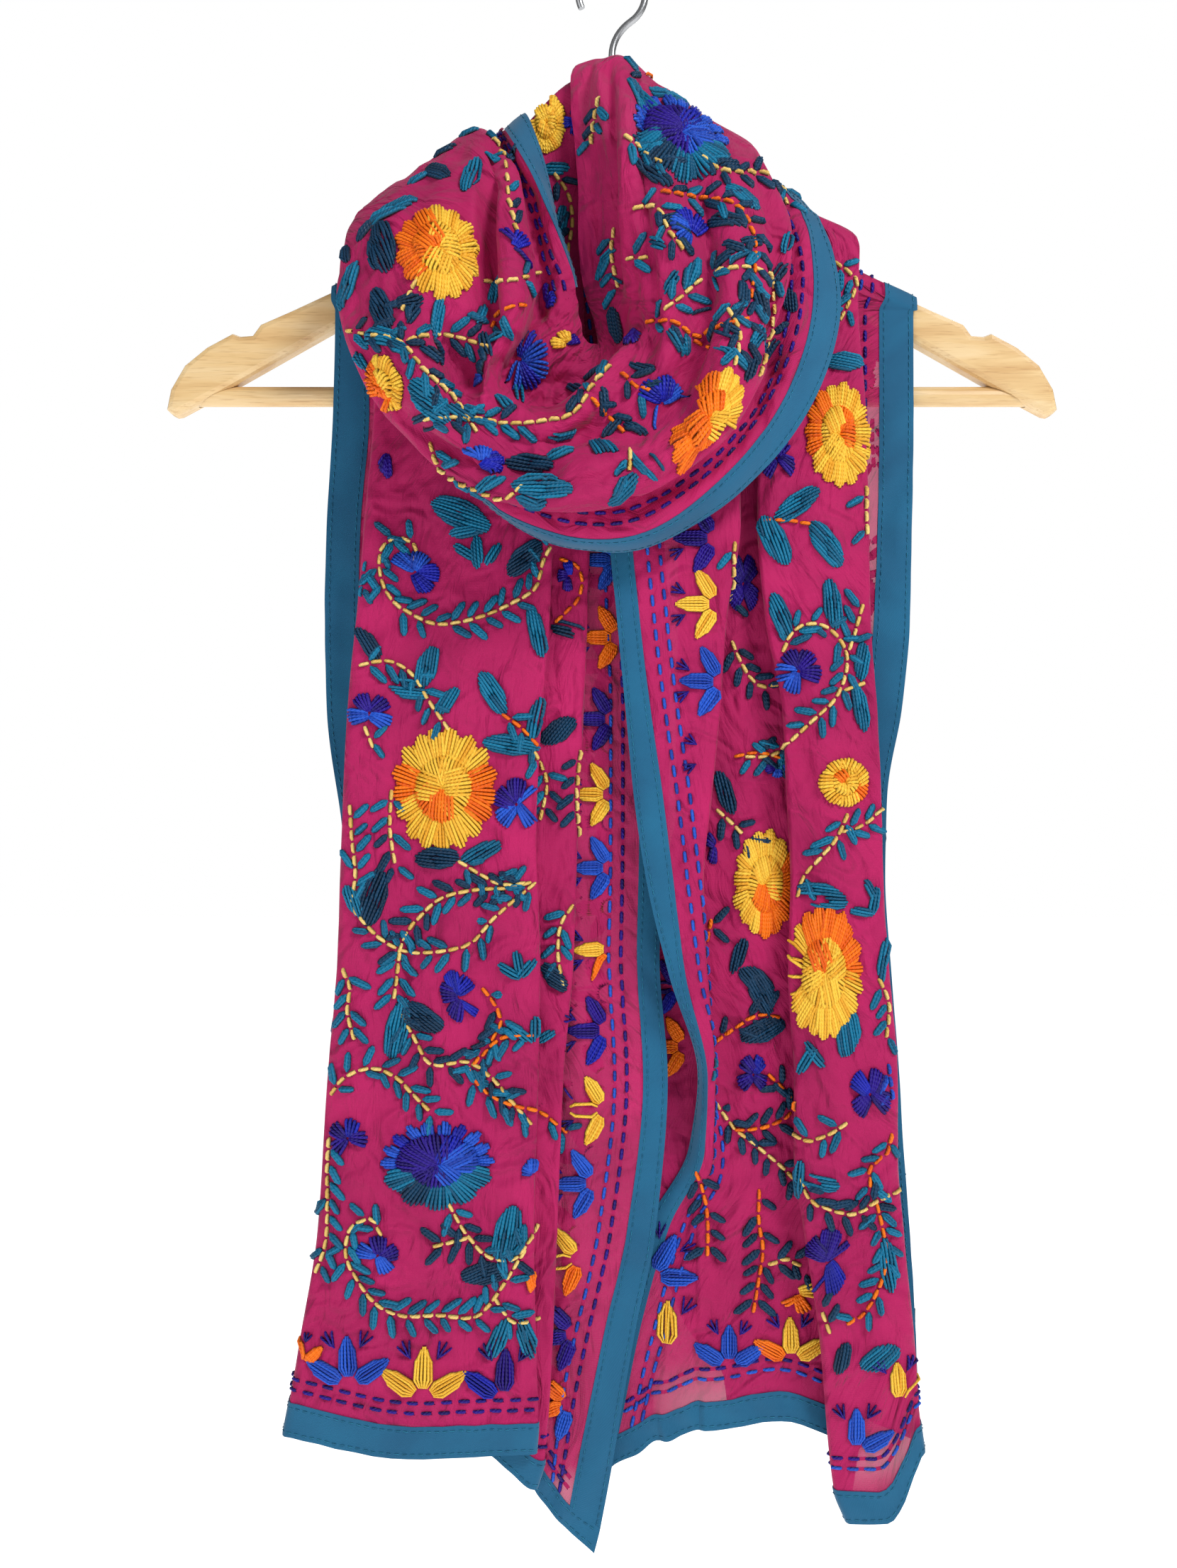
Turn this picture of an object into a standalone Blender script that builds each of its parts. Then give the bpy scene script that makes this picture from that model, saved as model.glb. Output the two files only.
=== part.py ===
"""A dupatta stole looped once round the neck of a wooden clothes hanger.

The stole is one long rectangle of thin georgette with a binding tape round it. Its middle
hangs in front as a deep cowl, its two ends cross behind the hook, come over the arms of the
hanger and fall in front as two pleated tails. Every stretch of it is a thin wall, lofted
through the fold lines below. All tables are in millimetres, +Z up, and the origin is the
inner top of the hook, where the hanger hangs. The front faces -Y.
"""
import math

import bpy
import numpy as np

MM = 0.001

CLOTH_WALL = 1.2
TAPE_WALL = 1.8
SEAM_GAP = 0.3
COWL_STEPS_ACROSS = 3     # facets between two fold lines of the loop
STEPS_AROUND = 3          # facets between two stations of the loop

ARM_THICK = 13.0
ARM_EDGE_ROUND = 3.0
BAR_RADIUS = 5.0
BAR_HALF_LENGTH = 209.0
BAR_Z = -217.8
WIRE_RADIUS = 1.75
HOOK_INNER_RADIUS = 15.0
HOOK_BEND_START = -46.0   # where the straight stem ends
STEM_FOOT = -116.0
FIT = 0.3                 # clearance of the bar and the stem in their holes

# Colours as linear RGB, then roughness and metallic.
GEORGETTE = ((0.48, 0.015, 0.11), 0.75, 0.0)
TAPE = ((0.02, 0.19, 0.33), 0.7, 0.0)
BEECH = ((0.69, 0.47, 0.24), 0.5, 0.0)
STEEL = ((0.6, 0.6, 0.62), 0.25, 1.0)

# Half of the hanger's outline from the front, crown to tip and back under: x, z.
ARM_TOP = ((0, -101), (14, -103), (40, -115), (80, -136), (120, -157), (145, -168.5),
           (160, -175.5), (176, -182.5), (180, -188), (186, -188.5), (190, -187),
           (203, -194), (214, -203), (221, -215), (223, -225))
ARM_UNDER = ((219, -229), (190, -213.5), (145, -188), (100, -163), (60, -142), (25, -127),
             (0, -122))

# A tail's fold lines from its outer long edge to its other one. A "tape" column is the
# outer line of the binding. Between two folds the cloth lies in one of seven layers.
TAIL_COLUMNS = ("tape", "edge", "fold1", "fold2", "fold3", "fold4", "fold5", "fold6",
                "edge", "tape")

# x of each fold line at a height z, from the hem's seam to just under the arms.
LEFT_TAIL = (
    # z     tape  edge fold1 fold2 fold3 fold4 fold5 fold6 edge tape
    (-681, (-123, -107, -46, -152, -37, -64, -29, -44, -4, 11)),
    (-632, (-125, -109, -45, -144, -38, -68, -27, -44, 7, 21)),
    (-557, (-126, -111, -44, -139, -36, -70, -24, -40, 15, 27)),
    (-498, (-130, -113, -42, -134, -35, -74, -19, -50, 12, 23)),
    (-438, (-134, -118, -42, -132, -37, -76, -17, -54, 13, 27)),
    (-376, (-142, -126, -42, -129, -34, -76, -14, -56, 13, 28)),
    (-324, (-143, -126, -42, -124, -30, -75, -12, -54, 11, 27)),
    (-285, (-142, -125, -42, -121, -29, -74, -11, -52, 9, 25)),
    (-228, (-139, -121, -48, -117, -32, -74, -12, -50, 6, 20)),
    (-177, (-138, -123, -64, -119, -43, -76, -14, -40, 2, 11)),
)
RIGHT_TAIL = (
    (-681, (-3, 14, 28, 42, 118, 100, 147, 36, 135, 151)),
    (-632, (16, 28, 38, 42, 118, 93, 142, 20, 131, 148)),
    (-592, (38, 45, 49, 50, 116, 88, 139, 14, 129, 145)),
    (-557, (42, 46, 50, 48, 115, 88, 139, 14, 126, 143)),
    (-505, (27, 35, 46, 38, 114, 85, 135, 18, 123, 139)),
    (-459, (16, 29, 44, 31, 112, 86, 132, 26, 120, 136)),
    (-418, (10, 24, 48, 31, 112, 84, 131, 34, 121, 137)),
    (-376, (6, 18, 52, 31, 112, 82, 129, 42, 126, 144)),
    (-334, (2, 13, 55, 32, 112, 74, 126, 44, 130, 148)),
    (-285, (-2, 9, 62, 32, 112, 70, 125, 46, 132, 149)),
    (-228, (-1, 9, 60, 32, 110, 71, 124, 56, 133, 150)),
    (-177, (2, 9, 57, 34, 106, 73, 121, 74, 133, 150)),
)

# The two long rows of a hem: x, z of each fold line at the tape's seam and at its bottom.
LEFT_HEM = (
    ((-121, -711), (-105, -711), (-48, -716), (-157, -711), (-36, -720),
     (-62, -724), (-33, -741), (-44, -735), (-21, -766), (-6, -777)),
    ((-121, -727), (-105, -727), (-48, -732), (-160, -727), (-37, -735),
     (-64, -737), (-37, -755), (-48, -748), (-23, -777), (-9, -789)),
)
RIGHT_HEM = (
    ((-12, -740), (3, -734), (23, -724), (44, -717), (120, -722),
     (107, -754), (150, -723), (56, -709), (139, -714), (152, -712)),
    ((-2, -756), (-1, -751), (25, -737), (44, -731), (122, -737),
     (113, -770), (152, -737), (58, -724), (140, -729), (150, -726)),
)

# How far a hem hangs below the straight line between two folds: place between the folds
# from 0 at the first tape, drop.
LEFT_SAG = ((3, 0), (3.5, 6), (4, 0))
RIGHT_SAG = ((3, 0), (3.5, -8), (4, 0), (5, 0), (5.5, 16), (6, 0), (6.5, -8), (7, 0),
             (7.5, -6), (8, 0))

# y of the outer tape, the seven layers and the other tape, at a height z.
LEFT_DEPTH = (
    # z     tape   l1   l2   l3   l4   l5   l6   l7  tape
    (-760, (-9.5, -9.5, -13.5, -37, -33, -29.5, -26, -22, -22)),
    (-557, (-9.5, -9.5, -13.5, -37, -32.5, -28.5, -25, -21.5, -21.5)),
    (-285, (-9.5, -9.5, -13.5, -34, -29.5, -25.5, -21.5, -17.5, -17.5)),
    (-177, (-8.2, -8.2, -12, -23.2, -19.4, -15.7, -12, -8.2, -8.2)),
)
RIGHT_DEPTH = (
    (-760, (-14.5, -14.5, -16, -18.5, -25, -33, -11.8, -8.2, -8.2)),
    (-681, (-14.5, -14.5, -16, -18.5, -25, -34, -11.8, -8.2, -8.2)),
    (-632, (-14.5, -14.5, -16, -18.5, -25, -34, -11.8, -8.2, -8.2)),
    (-592, (-15, -24, -21.5, -18.5, -25, -34, -11.8, -8.2, -8.2)),
    (-557, (-21, -31, -25, -18.5, -26, -34, -11.8, -8.2, -8.2)),
    (-505, (-35, -35, -28, -19, -26, -34, -12, -8.2, -8.2)),
    (-285, (-34, -34, -28, -19, -26, -33, -13, -9.5, -9.5)),
    (-177, (-23.2, -23.2, -19.4, -15.7, -19.4, -23.2, -12, -8.2, -8.2)),
)

# x of each fold line where the tail passes over the arm or the crown.
LEFT_RIDGE = (-140, -125, -88, -114, -52, -70, -14, -42, -26, -20)
RIGHT_RIDGE = (12, 22, 54, 38, 98, 70, 118, 84, 136, 152)

# The line that the lowest layer follows over the hanger: x, z. Over the arms it lies on
# the wood, and beside the stem the cloth is bunched higher.
LEFT_SEAT = ((-160, -172.3), (-145, -165.3), (-120, -153.8), (-100, -141), (-80, -128),
             (-66, -116), (-50, -99), (-10, -60))
RIGHT_SEAT = ((0, -98), (14, -99), (40, -111), (80, -132), (120, -153.8), (145, -165.3),
              (160, -172.3))

# Over the seat a tail is close round the arm: share of x, drop below the seat's line, y of
# the layer nearest the wood, and how the layers' spread goes to y and to height.
SHOULDER = (
    (1.00, 8.0, -8.6, -0.85, 0.80),
    (1.00, 1.3, -6.3, -0.55, 0.78),
    (1.00, 0.0, 0.0, 0.0, 0.80),
    (0.99, 1.3, 6.3, 0.50, 0.78),
    (0.97, 9.0, 8.6, 0.75, 0.78),
    (0.93, 32.0, 8.6, 0.75, 0.75),
)
FOLD_ROUND = 2.0          # radius of the turn at a fold's tip
FADE = 9.0                # folds closer than this flatten out
TIP_LEAN = 0.2            # how far the points beside a tip lean towards its depth

# The loop: a closed ring of stations round the hook's stem. At each one the cloth runs
# from the binding of its inner edge, over the pouch in the well, the rim and the rolls of
# the main drape, under the lip into a slit and out to the outer edge and its tape: x, y, z.
LOOP_COLUMNS = ("inner", "edge", "pouch", "well", "rim", "upper", "crease", "lower", "lip",
                "slit", "hem", "tape")
LOOP = (
    ("bottom", ((-9, -30, -190), (-8, -36, -201), (-8, -42, -207), (-9, -45, -217), (-8, -61, -221),
                (-8, -78, -240), (-7, -77, -253), (-5, -92, -273), (-5, -84, -288),
                (-5, -64, -281), (-1, -62, -299), (0, -48, -303))),
    ("low_right", ((-13, -28, -179), (-10, -31, -187), (-3, -37, -195), (3, -44, -203), (11, -59, -201),
                   (19, -76, -228), (27, -75, -241), (37, -88, -255), (50, -79, -256),
                   (44, -60, -248), (65, -57, -254), (74, -49, -261))),
    ("right", ((-17, -30, -170), (-14, -32, -172), (-8, -36, -174), (0, -42, -176), (9, -57, -178),
               (21, -74, -186), (34, -71, -188), (53, -78, -193), (80, -65, -187),
               (72, -49, -182), (95, -45, -181), (109, -38, -180))),
    ("right_high", ((-20, -28, -121), (-17, -30, -122), (-11, -34, -123), (-4, -40, -125), (2, -53, -130),
                    (14, -66, -136), (28, -62, -137), (51, -63, -144), (84, -49, -151),
                    (79, -38, -146), (92, -35, -143), (101, -29, -140))),
    ("ridge_right", ((-17, -10, -55), (-14, -12, -55), (-11, -14, -55), (-7, -16, -55), (-3, -19, -56),
                     (6, -14, -53), (17, -12, -61), (43, -12, -80), (70, -8, -100),
                     (62, -4, -105), (79, -3, -111), (88, 1, -116))),
    ("over_right", ((10, 0, -74), (13, 2, -69), (13, 3, -66), (13, 6, -63), (15, 9, -60),
                    (23, 10, -59), (33, 12, -68), (55, 16, -88), (78, 18, -107),
                    (70, 11, -111), (84, 14, -116), (92, 18, -120))),
    ("back_right", ((36, 25, -112), (38, 22, -97), (38, 24, -91), (39, 27, -86), (41, 31, -80),
                    (50, 35, -80), (58, 36, -94), (66, 42, -118), (77, 43, -146),
                    (76, 36, -140), (84, 35, -160), (88, 35, -176))),
    ("back_mid", ((0, 21, -108), (0, 24, -92), (0, 26, -85), (0, 28, -80), (0, 31, -75),
                  (0, 40, -86), (0, 40, -104), (0, 47, -130), (0, 48, -162),
                  (0, 40, -156), (0, 39, -182), (0, 39, -199))),
    ("back_left", ((-38, 22, -112), (-40, 24, -96), (-42, 25, -92), (-45, 27, -88), (-50, 30, -84),
                   (-58, 36, -88), (-66, 36, -100), (-76, 42, -120), (-96, 42, -150),
                   (-91, 35, -147), (-85, 33, -158), (-80, 31, -171))),
    ("over_left", ((-48, 16, -94), (-54, 14, -84), (-57, 13, -84), (-60, 12, -86), (-65, 12, -85),
                   (-71, 14, -84), (-78, 15, -90), (-94, 17, -107), (-113, 20, -126),
                   (-107, 18, -126), (-100, 19, -119), (-93, 20, -112))),
    ("ridge_left", ((-43, -21, -84), (-53, -22, -92), (-56, -12, -90), (-59, -8, -90), (-63, -12, -89),
                    (-70, -9, -87), (-76, -7, -90), (-93, -9, -105), (-118, -9, -127),
                    (-110, -5, -127), (-104, -6, -120), (-98, -7, -115))),
    ("left_high", ((-29, -36, -132), (-34, -50, -135), (-36, -46, -138), (-40, -42, -137), (-44, -57, -143),
                   (-51, -62, -144), (-60, -55, -141), (-84, -62, -144), (-125, -35, -147),
                   (-119, -30, -148), (-113, -36, -153), (-103, -42, -159))),
    ("left", ((-22, -33, -172), (-18, -46, -177), (-25, -50, -178), (-34, -44, -182), (-37, -62, -180),
              (-49, -74, -190), (-59, -67, -191), (-86, -78, -195), (-129, -47, -185),
              (-121, -39, -186), (-114, -41, -192), (-104, -42, -202))),
    ("low_left", ((-13, -35, -182), (-16, -44, -190), (-33, -52, -210), (-50, -50, -225), (-51, -67, -234),
                  (-57, -80, -242), (-67, -75, -244), (-77, -86, -251), (-99, -67, -250),
                  (-92, -53, -245), (-86, -49, -254), (-76, -44, -262))),
    ("bottom_left", ((-11, -34, -190), (-13, -42, -201), (-22, -48, -214), (-32, -48, -233), (-33, -66, -241),
                     (-34, -82, -257), (-36, -80, -265), (-38, -92, -278), (-42, -83, -288),
                     (-40, -63, -280), (-38, -60, -292), (-40, -46, -294))),
)
LOOP_FRONT = ("ridge_left", "ridge_right")    # the cowl runs between these, through the bottom
INNER_TAPE_END = "left"   # past here the inner edge is turned under, out of sight
BACK_TAPE_END = "back_left"    # past here the outer edge turns under, up to the front


def clear_scene():
    for thing in list(bpy.data.objects):
        bpy.data.objects.remove(thing, do_unlink=True)


def make_material(name, finish):
    colour, roughness, metallic = finish
    material = bpy.data.materials.new(name)
    material.use_nodes = True
    shader = material.node_tree.nodes["Principled BSDF"]
    shader.inputs["Base Color"].default_value = (*colour, 1.0)
    shader.inputs["Roughness"].default_value = roughness
    shader.inputs["Metallic"].default_value = metallic
    return material


def add_mesh(name, points_mm, faces, material, smooth=True):
    mesh = bpy.data.meshes.new(name)
    mesh.from_pydata([tuple(point) for point in np.asarray(points_mm) * MM], [], faces)
    mesh.update()
    if smooth:
        mesh.shade_smooth()
        mesh.set_sharp_from_angle(angle=math.radians(40))
    thing = bpy.data.objects.new(name, mesh)
    thing.data.materials.append(material)
    bpy.context.scene.collection.objects.link(thing)
    return thing


def blend_rows(knots, values, at, overshoot=False):
    """Smooth curve through values at knots, read at the places in at.

    Without overshoot a coordinate never passes its neighbours' range, so a fold's tip
    stays where its table puts it."""
    knots = np.asarray(knots, float)
    values = np.asarray(values, float)
    gaps = np.diff(knots).reshape((-1,) + (1,) * (values.ndim - 1))
    slopes = np.diff(values, axis=0) / gaps
    before, after = slopes[:-1], slopes[1:]
    if overshoot:
        inner = (before * gaps[1:] + after * gaps[:-1]) / (gaps[1:] + gaps[:-1])
    else:
        product = before * after
        total = before + after
        safe = np.where(np.abs(total) < 1e-9, 1.0, total)
        inner = np.where(product > 0, 2 * product / safe, 0.0)
    tangents = np.concatenate([slopes[:1], inner, slopes[-1:]])
    at = np.clip(np.asarray(at, float), knots[0], knots[-1])
    index = np.clip(np.searchsorted(knots, at, side="right") - 1, 0, len(knots) - 2)
    wide = (-1,) + (1,) * (values.ndim - 1)
    length = (knots[index + 1] - knots[index]).reshape(wide)
    t = ((at - knots[index]) / (knots[index + 1] - knots[index])).reshape(wide)
    return ((2 * t ** 3 - 3 * t ** 2 + 1) * values[index]
            + (t ** 3 - 2 * t ** 2 + t) * length * tangents[index]
            + (3 * t ** 2 - 2 * t ** 3) * values[index + 1]
            + (t ** 3 - t ** 2) * length * tangents[index + 1])


def chord_knots(grid):
    """Knots along the first axis of a grid, spaced by the mean distance between rows."""
    steps = np.linalg.norm(np.diff(grid, axis=0), axis=-1).mean(axis=1)
    return np.concatenate([[0.0], np.cumsum(steps)])


def fractions(first, last, steps):
    """Places from one knot number to another, with steps to each interval."""
    return np.linspace(first, last, (last - first) * steps + 1)


def sheet_normals(middle):
    """Unit normals of a grid of points."""
    normal = np.cross(np.gradient(middle, axis=1), np.gradient(middle, axis=0))
    return normal / np.linalg.norm(normal, axis=2, keepdims=True)


def wall(name, middle, normal, thickness, material):
    """A closed wall of the given thickness about a grid of middle points."""
    rows, columns = middle.shape[:2]
    half = 0.5 * thickness * normal
    points = np.concatenate([(middle + half).reshape(-1, 3), (middle - half).reshape(-1, 3)])
    number = np.arange(rows * columns).reshape(rows, columns)
    under = number + rows * columns
    faces = []
    for r in range(rows - 1):
        for c in range(columns - 1):
            faces.append((number[r, c], number[r, c + 1], number[r + 1, c + 1],
                          number[r + 1, c]))
            faces.append((under[r, c], under[r + 1, c], under[r + 1, c + 1],
                          under[r, c + 1]))
    for r in range(rows - 1):
        faces.append((number[r, 0], number[r + 1, 0], under[r + 1, 0], under[r, 0]))
        faces.append((number[r, -1], under[r, -1], under[r + 1, -1], number[r + 1, -1]))
    for c in range(columns - 1):
        faces.append((number[0, c], under[0, c], under[0, c + 1], number[0, c + 1]))
        faces.append((number[-1, c], number[-1, c + 1], under[-1, c + 1], under[-1, c]))
    faces = [tuple(int(i) for i in face) for face in faces]
    return add_mesh(name, points, faces, material)


def fold_row(folds, depths):
    """One section across a tail: x, outward distance and fold number of its points.

    Each fold has a point before its tip, one at it and one after it, and each layer has
    a point at its middle. A pleat that fades has its points spread in line instead."""
    folds = np.asarray(folds, float)
    layers = -np.asarray(depths[1:-1], float)
    tips = (layers[:-1] + layers[1:]) / 2
    points = [(folds[0], -depths[0], 0.0), (folds[1], layers[0], 1.0)]
    for i, layer in enumerate(layers):
        start, end = folds[i + 1], folds[i + 2]
        turn = FOLD_ROUND * (end - start) / (abs(end - start) + FADE)
        if i > 0:
            points.append((start + turn, layer + TIP_LEAN * (tips[i - 1] - layer), i + 1.0))
        points.append(((start + end) / 2, layer, i + 1.5))
        if i < len(tips):
            points.append((end - turn, layer + TIP_LEAN * (tips[i] - layer), i + 2.0))
            points.append((end, tips[i], i + 2.0))
    points.append((folds[-2], layers[-1], len(folds) - 2.0))
    points.append((folds[-1], -depths[-1], len(folds) - 1.0))
    return np.array(points).T


def tail_grid(tail, hem, sag, depth, ridge, seat):
    """Middle points of a tail: stations from the hem's bottom up and over the arm."""
    depth_z = np.array([row[0] for row in depth], float)
    depth_y = np.array([row[1] for row in depth], float)
    stations = []
    for row in reversed(hem):
        at_hem = blend_rows(depth_z, depth_y, [row[4][1]])[0]
        x, out, number = fold_row([point[0] for point in row], at_hem)
        z = np.interp(number, np.arange(len(row)), [point[1] for point in row])
        z -= np.interp(number, *np.array(sag, float).T)
        stations.append(np.stack([x, -out, z], axis=1))
    for height, folds in tail:
        x, out, _ = fold_row(folds, blend_rows(depth_z, depth_y, [height])[0])
        stations.append(np.stack([x, -out, np.full_like(x, height)], axis=1))
    x, out, _ = fold_row(ridge, depth_y[-1])
    spread = out - out.min()
    line_x, line_z = np.array(seat, float).T
    seat_z = np.interp(x, line_x, line_z)
    slope = np.interp(x, line_x, np.gradient(line_z, line_x))
    length = np.hypot(1.0, slope)
    for share, drop, near, to_depth, to_height in SHOULDER:
        lift = to_height * spread
        y = near + to_depth * spread
        z = seat_z + lift / length - drop
        stations.append(np.stack([x * share - lift * slope / length, y, z], axis=1))
    return np.array(stations)


def refine(lines, numbers, overshoot):
    """Read each line of a grid's first axis at whole and fractional point numbers."""
    out = np.empty((len(numbers),) + lines.shape[1:])
    for column in range(lines.shape[1]):
        line = lines[:, column]
        steps = np.linalg.norm(np.diff(line, axis=0), axis=1)
        knots = np.concatenate([[0.0], np.cumsum(np.maximum(steps, 0.2))])
        out[:, column] = blend_rows(knots, line, np.interp(numbers, np.arange(len(knots)), knots),
                                    overshoot)
    return out


def read_grid(grid, along, across, overshoot=False):
    """A finer grid of points from a grid of fold lines."""
    rows = refine(grid, along, overshoot)
    return refine(rows.transpose(1, 0, 2), across, overshoot).transpose(1, 0, 2)


def share_normals(normal, first, second, axis):
    """Give the two rows or columns either side of a seam one normal, so that they part."""
    both = normal.take(first, axis) + normal.take(second, axis)
    both /= np.linalg.norm(both, axis=-1, keepdims=True)
    place = [slice(None)] * 3
    for number in (first, second):
        place[axis] = number
        normal[tuple(place)] = both


def build_tail(side, grid, cloth, tape):
    """The panel of a tail with its two long tapes and its hem tape."""
    stations, columns = grid.shape[:2]
    across_knots = chord_knots(grid.transpose(1, 0, 2))
    along_knots = chord_knots(grid)
    gap_first = SEAM_GAP / (across_knots[1] - across_knots[0])
    gap_last = SEAM_GAP / (across_knots[-1] - across_knots[-2])
    gap_hem = SEAM_GAP / (along_knots[1] - along_knots[0])
    up = np.concatenate([[0, 1 - gap_hem], np.arange(1, stations)])
    across = np.concatenate([[0, 0.5, 1 - gap_first], np.arange(1, columns - 1),
                             [columns - 2 + gap_last, columns - 1.5, columns - 1]])
    sheet = read_grid(grid, up, across)
    normal = sheet_normals(sheet)
    share_normals(normal, 1, 2, 0)
    share_normals(normal, 2, 3, 1)
    share_normals(normal, len(across) - 4, len(across) - 3, 1)
    first_tape, last_tape = ("outer", "inner") if side == "left" else ("inner", "outer")
    parts = (
        (f"{side}_tail", slice(2, None), slice(3, -3), CLOTH_WALL, cloth),
        (f"{side}_{first_tape}_tape", slice(2, None), slice(0, 3), TAPE_WALL, tape),
        (f"{side}_{last_tape}_tape", slice(2, None), slice(-3, None), TAPE_WALL, tape),
        (f"{side}_hem_tape", slice(0, 2), slice(None), TAPE_WALL, tape),
    )
    for name, rows, cols, thickness, material in parts:
        wall(name, sheet[rows, cols], normal[rows, cols], thickness, material)


def loop_ring():
    """The loop's stations as a closed grid, started at the cowl's left ridge."""
    names = [name for name, _ in LOOP]
    start = names.index(LOOP_FRONT[0])
    order = [(start + step) % len(names) for step in range(len(names))]
    grid = np.array([LOOP[i][1] for i in order], float)
    return grid, [names[i] for i in order]


def build_loop(cloth, tape):
    """The cowl in front and the band behind the neck, each with its tapes."""
    ring, names = loop_ring()
    count = len(ring)
    # Stations repeated at both ends let the curve run through the start smoothly.
    closed = np.concatenate([ring[-3:], ring, ring[:4]])
    right = names.index(LOOP_FRONT[1])
    last = len(LOOP_COLUMNS) - 1
    knots = chord_knots(closed.transpose(1, 0, 2))
    gap = SEAM_GAP / (knots[-1] - knots[-2])
    inner_gap = SEAM_GAP / (knots[1] - knots[0])
    across = np.concatenate([[0, 0.5, 1 - inner_gap],
                             fractions(1, last - 1, COWL_STEPS_ACROSS),
                             [last - 1 + gap, last - 0.5, last]])
    along_knots = chord_knots(closed)
    cut = SEAM_GAP / (along_knots[right + 4] - along_knots[right + 3])
    front = fractions(0, right, STEPS_AROUND)
    back = fractions(right, count, STEPS_AROUND)
    back[0] += cut
    back[-1] -= cut
    numbers = np.concatenate([[-1 / STEPS_AROUND], front, back, [count, count + 1 / STEPS_AROUND]])
    sheet = read_grid(closed, numbers + 3, across, True)
    normal = sheet_normals(sheet)
    share_normals(normal, 2, 3, 1)
    share_normals(normal, len(across) - 4, len(across) - 3, 1)
    share_normals(normal, len(front), len(front) + 1, 0)
    share_normals(normal, len(numbers) - 3, len(numbers) - 2, 0)
    normal[1] = normal[-2]
    front_rows = slice(1, 1 + len(front))
    back_rows = slice(1 + len(front), -2)
    tape_end = back_rows.start + STEPS_AROUND * (names.index(BACK_TAPE_END) - right) + 1
    for name, rows, tape_rows in (("front_loop", front_rows, front_rows),
                                  ("neck_back", back_rows, slice(back_rows.start, tape_end))):
        wall(name, sheet[rows, 3:-3], normal[rows, 3:-3], CLOTH_WALL, cloth)
        wall(name + "_tape", sheet[tape_rows, -3:], normal[tape_rows, -3:], TAPE_WALL, tape)
    shown = slice(1, 2 + STEPS_AROUND * names.index(INNER_TAPE_END))
    wall("front_loop_inner_tape", sheet[shown, :3], normal[shown, :3], TAPE_WALL, tape)


def add_cylinder(name, start, end, radius, sides, material):
    """A capped cylinder between two points in millimetres."""
    start, end = np.array(start, float), np.array(end, float)
    axis = (end - start) / np.linalg.norm(end - start)
    helper = np.array((0.0, 1.0, 0.0))
    u = np.cross(axis, helper)
    v = np.cross(axis, u)
    turns = np.arange(sides) * 2 * math.pi / sides
    circle = radius * (np.cos(turns)[:, None] * u + np.sin(turns)[:, None] * v)
    points = np.concatenate([start + circle, end + circle])
    faces = [(i, (i + 1) % sides, sides + (i + 1) % sides, sides + i) for i in range(sides)]
    faces.append(tuple(range(sides))[::-1])
    faces.append(tuple(range(sides, 2 * sides)))
    return add_mesh(name, points, faces, material)


def add_cutter(name, start, end, radius, sides, material):
    cutter = add_cylinder(name, start, end, radius, sides, material)
    cutter.hide_render = True
    cutter.display_type = "WIRE"
    return cutter


def build_hanger_arms(beech):
    """Both arms and the crown, one flat piece with rounded edges, bored for bar and stem."""
    top = list(ARM_TOP) + list(ARM_UNDER)
    outline = top + [(-x, z) for x, z in reversed(top) if x > 0]
    count = len(outline)
    front = [(x, -ARM_THICK / 2, z) for x, z in outline]
    back = [(x, ARM_THICK / 2, z) for x, z in outline]
    faces = [tuple(range(count))[::-1], tuple(range(count, 2 * count))]
    faces += [(i, (i + 1) % count, count + (i + 1) % count, count + i) for i in range(count)]
    arms = add_mesh("hanger_arms", front + back, faces, beech)
    round_edges = arms.modifiers.new("round_edges", "BEVEL")
    round_edges.width = ARM_EDGE_ROUND * MM
    round_edges.segments = 2
    round_edges.limit_method = "ANGLE"
    round_edges.angle_limit = math.radians(60)
    reach = BAR_HALF_LENGTH + FIT
    cutters = [
        add_cutter("bar_bore", (-reach, 0, BAR_Z), (reach, 0, BAR_Z), BAR_RADIUS + FIT, 16, beech),
        add_cutter("stem_bore", (0, 0, -90), (0, 0, STEM_FOOT - FIT), WIRE_RADIUS + FIT, 10,
                   beech),
    ]
    for cutter in cutters:
        bore = arms.modifiers.new(cutter.name, "BOOLEAN")
        bore.operation = "DIFFERENCE"
        bore.solver = "EXACT"
        bore.object = cutter
    return arms


def build_hanger_bar(beech):
    return add_cylinder("hanger_bar", (-BAR_HALF_LENGTH, 0, BAR_Z), (BAR_HALF_LENGTH, 0, BAR_Z),
                        BAR_RADIUS, 16, beech)


def hook_path():
    """Centre line of the hook: straight stem, side bend, then round over the top."""
    centre_z = -HOOK_INNER_RADIUS
    radius = HOOK_INNER_RADIUS + WIRE_RADIUS
    entry = math.radians(-55)
    exit_angle = math.radians(205)
    path = [(0.0, STEM_FOOT), (0.0, -80.0), (0.0, HOOK_BEND_START)]
    start = np.array((0.0, HOOK_BEND_START))
    end = np.array((radius * math.cos(entry), centre_z + radius * math.sin(entry)))
    lead_in = start + np.array((0.0, 7.0))
    lead_out = end - 7.0 * np.array((-math.sin(entry), math.cos(entry)))
    for t in (0.25, 0.5, 0.75):
        path.append(tuple((1 - t) ** 3 * start + 3 * (1 - t) ** 2 * t * lead_in
                          + 3 * (1 - t) * t ** 2 * lead_out + t ** 3 * end))
    for step in range(15):
        angle = entry + (exit_angle - entry) * step / 14
        path.append((radius * math.cos(angle), centre_z + radius * math.sin(angle)))
    return path


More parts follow.
